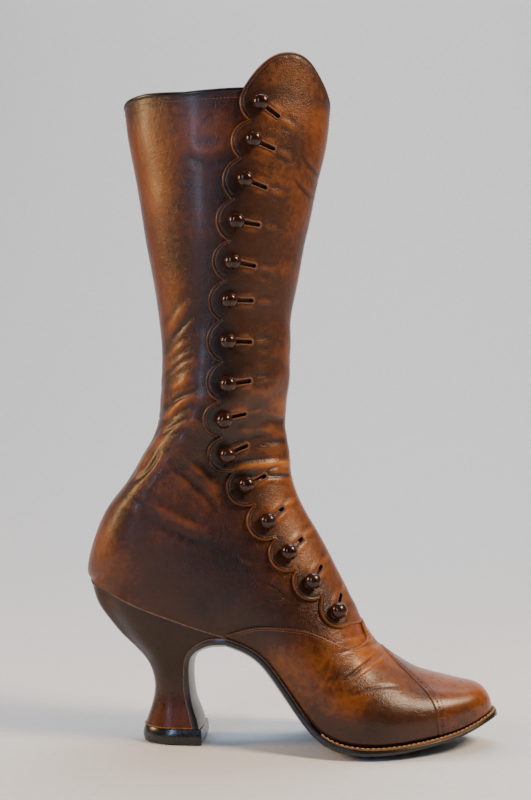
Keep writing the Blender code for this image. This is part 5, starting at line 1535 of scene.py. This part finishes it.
def makeWelt():
    end = float(skin.placeOfBottom(welt["end"]))
    places = np.linspace(0.00001, end, 420)
    taper = np.clip((end - places) / (0.25 * end), 0.25, 1.0)
    near = weltReach() - welt["width"]
    sides = []
    for side in (-1, 1):
        inner = edgePoints(places, np.full(len(places), near), side)
        outer = edgePoints(places, near + (welt["width"] - last["fit"]) * taper, side)
        sides.append(np.hstack((inner, outer)))
    strip = np.vstack((sides[0][::-1], sides[1][1:]))
    strip = evenly(strip, step=0.0006)
    inner, outer = strip[:, :3], strip[:, 3:]
    run = runOf(outer)
    wheel = 1.0 - 0.16 * np.clip(np.cos(2.0 * math.pi * run / 0.0015), 0.0, 1.0) ** 4
    points = []
    profile = ((0.0, 0.0), (0.0, 1.0), (0.35, 1.0), (0.7, 0.97), (0.93, 0.85), (1.0, 0.55), (1.0, 0.0))
    for k in range(len(strip)):
        for across, rise in profile:
            point = inner[k] + (outer[k] - inner[k]) * across
            mark = wheel[k] if 0.2 < across < 0.99 else 1.0
            points.append(point + np.array((0.0, 0.0, rise * welt["thickness"] * mark)))
    faces = gridFaces(len(strip), len(profile), wrapColumns=True)
    size = len(profile)
    faces += [tuple(range(size)), tuple(range((len(strip) - 1) * size, len(strip) * size))[::-1]]
    makePiece("tan_welt", points, faces, weltLeather, ("welt",), sharp=50.0)
    line = inner + (outer - inner) * 0.62 + np.array((0.0, 0.0, welt["thickness"] * 0.92))
    ways = np.tile((0.0, 0.0, 1.0), (len(line), 1))
    thread = stitches(line, ways, welt["stitch"], welt["stitch"] * 0.8, welt["thread"])
    makePiece("welt_stitching", *joined(thread), weltThread, ("welt",))


# Light piping where the covered heel meets the quarters.
def makeSeatPiping():
    start = float(skin.placeOfBottom(heelRows[0][heelColumns.index("innerX")]))
    places = np.linspace(start, closingPlace, 160)
    outer = skin.at(places, np.zeros(160))
    inner = skin.at(places, np.ones(160))
    outerWays = skin.at(places, np.zeros(160), 1.0) - outer
    innerWays = skin.at(places, np.ones(160), 1.0) - inner
    line = np.vstack((outer, inner[::-1][1:]))
    ways = np.vstack((outerWays, innerWays[::-1][1:]))
    both = evenly(np.hstack((line, 0.0001 * ways)), count=360)
    line, ways = both[:, :3], both[:, 3:]
    ways /= np.linalg.norm(ways, axis=1, keepdims=True)
    bead = tube(line + np.array((0.0, 0.0, 0.0002)) - ways * 0.00005, ways, 0.00042, 8)
    makePiece("seat_piping", *bead, dyedPiping, ("upper",))


frames = buttonFrames()
makeQuarters()
print("quarters, lining and collar done")
makeVamp()
makeCap()
print("vamp and toe cap done")
makeFly(frames)
makeButtons(frames)
print("fly and", len(frames), "buttons done")
makeHeel()
makeTopLift()
makeSole()
makeWelt()
makeSeatPiping()
bpy.data.objects["insole"].material_slots[0].material = insoleLeather
print("heel, sole and welt done")

# Studio: a pale sweep behind and under the boot, and five soft lights.
studio = {
    "world": "DCE6EE", "worldFront": "20242A", "worldStrength": 0.30,
    "sweepDark": "D5DADD", "sweepLight": "DEE2E4",
    "sweepHalf": 4.0, "floorFrom": -2.2, "bendFrom": 0.7, "bend": 0.9, "wall": 2.4}


def makeSweep():
    start, bend = studio["bendFrom"], studio["bend"]
    rows = [(y, 0.0) for y in np.linspace(studio["floorFrom"], start, 13)]
    for angle in np.linspace(0.0, 0.5 * math.pi, 17)[1:]:
        rows.append((start + bend * math.sin(angle), bend - bend * math.cos(angle)))
    rows += [(start + bend, bend + rise) for rise in np.linspace(0.0, studio["wall"], 12)[1:]]
    points = [(x, y, z) for y, z in rows for x in (-studio["sweepHalf"], studio["sweepHalf"])]
    mesh = bpy.data.meshes.new("paper_sweep")
    mesh.from_pydata(points, [], gridFaces(len(rows), 2, flip=True))
    mesh.shade_smooth()
    material, tree, shader, where = newMaterial("paper_sweep", Roughness=0.9)
    spread = noiseOf(tree, where, 0.004, 3.0)
    paper = ramp(tree, spread, ((0.3, studio["sweepDark"]), (0.7, studio["sweepLight"])))
    tree.links.new(paper, shader.inputs["Base Color"])
    mesh.materials.append(material)
    sweep = bpy.data.objects.new("paper_sweep", mesh)
    bpy.context.scene.collection.objects.link(sweep)


def softLight(name, place, aim, size, power, code):
    lamp = bpy.data.lights.new(name, "AREA")
    lamp.shape = "RECTANGLE"
    lamp.size, lamp.size_y = size
    lamp.energy = power
    lamp.color = colour(code)[:3]
    piece = bpy.data.objects.new(name, lamp)
    piece.location = place
    piece.rotation_euler = (Vector(aim) - Vector(place)).to_track_quat("-Z", "Y").to_euler()
    bpy.context.scene.collection.objects.link(piece)


makeSweep()
softLight("front_upper_right", (0.95, -0.40, 1.05), (0.03, 0.0, 0.12), (0.36, 0.42), 26.0, "FFDFBC")
softLight("cool_strip", (-0.62, -1.25, 0.70), (-0.03, 0.0, 0.24), (0.09, 0.9), 8.0, "BFD6FF")
softLight("back_left", (-1.25, -0.15, 0.62), (-0.05, 0.0, 0.24), (0.30, 0.5), 13.0, "FFCE94")
softLight("overhead", (0.15, 0.35, 1.7), (0.02, 0.0, 0.1), (0.9, 0.9), 9.0, "F6F8FF")
softLight("sweep_light", (0.0, 0.9, 1.9), (0.0, 1.7, 0.4), (2.4, 0.8), 26.0, "E4F0FF")

# The room is pale behind the boot and dim in front of it, so that the leather keeps its depth.
world = bpy.data.worlds.new("pale_room")
world.use_nodes = True
room = world.node_tree
around = addNode(room, "ShaderNodeTexCoord").outputs["Generated"]
depth = addNode(room, "ShaderNodeSeparateXYZ", sockets={0: around}).outputs["Y"]
share = blend(room, "MULTIPLY_ADD", depth, 0.5, 0.5)
lit = ramp(room, share, ((0.20, studio["worldFront"]), (0.75, studio["world"])))
room.links.new(lit, room.nodes["Background"].inputs["Color"])
room.nodes["Background"].inputs["Strength"].default_value = studio["worldStrength"]
bpy.context.scene.world = world

lens = bpy.data.cameras.new("photo_view")
lens.sensor_fit = "VERTICAL"
lens.sensor_height = 24.0
lens.lens = 39.99
view = bpy.data.objects.new("photo_view", lens)
view.location = (0.05405, -0.79380, 0.2045)
view.rotation_euler = (math.radians(90.0), 0.0, math.radians(5.0))
bpy.context.scene.collection.objects.link(view)
bpy.context.scene.camera = view
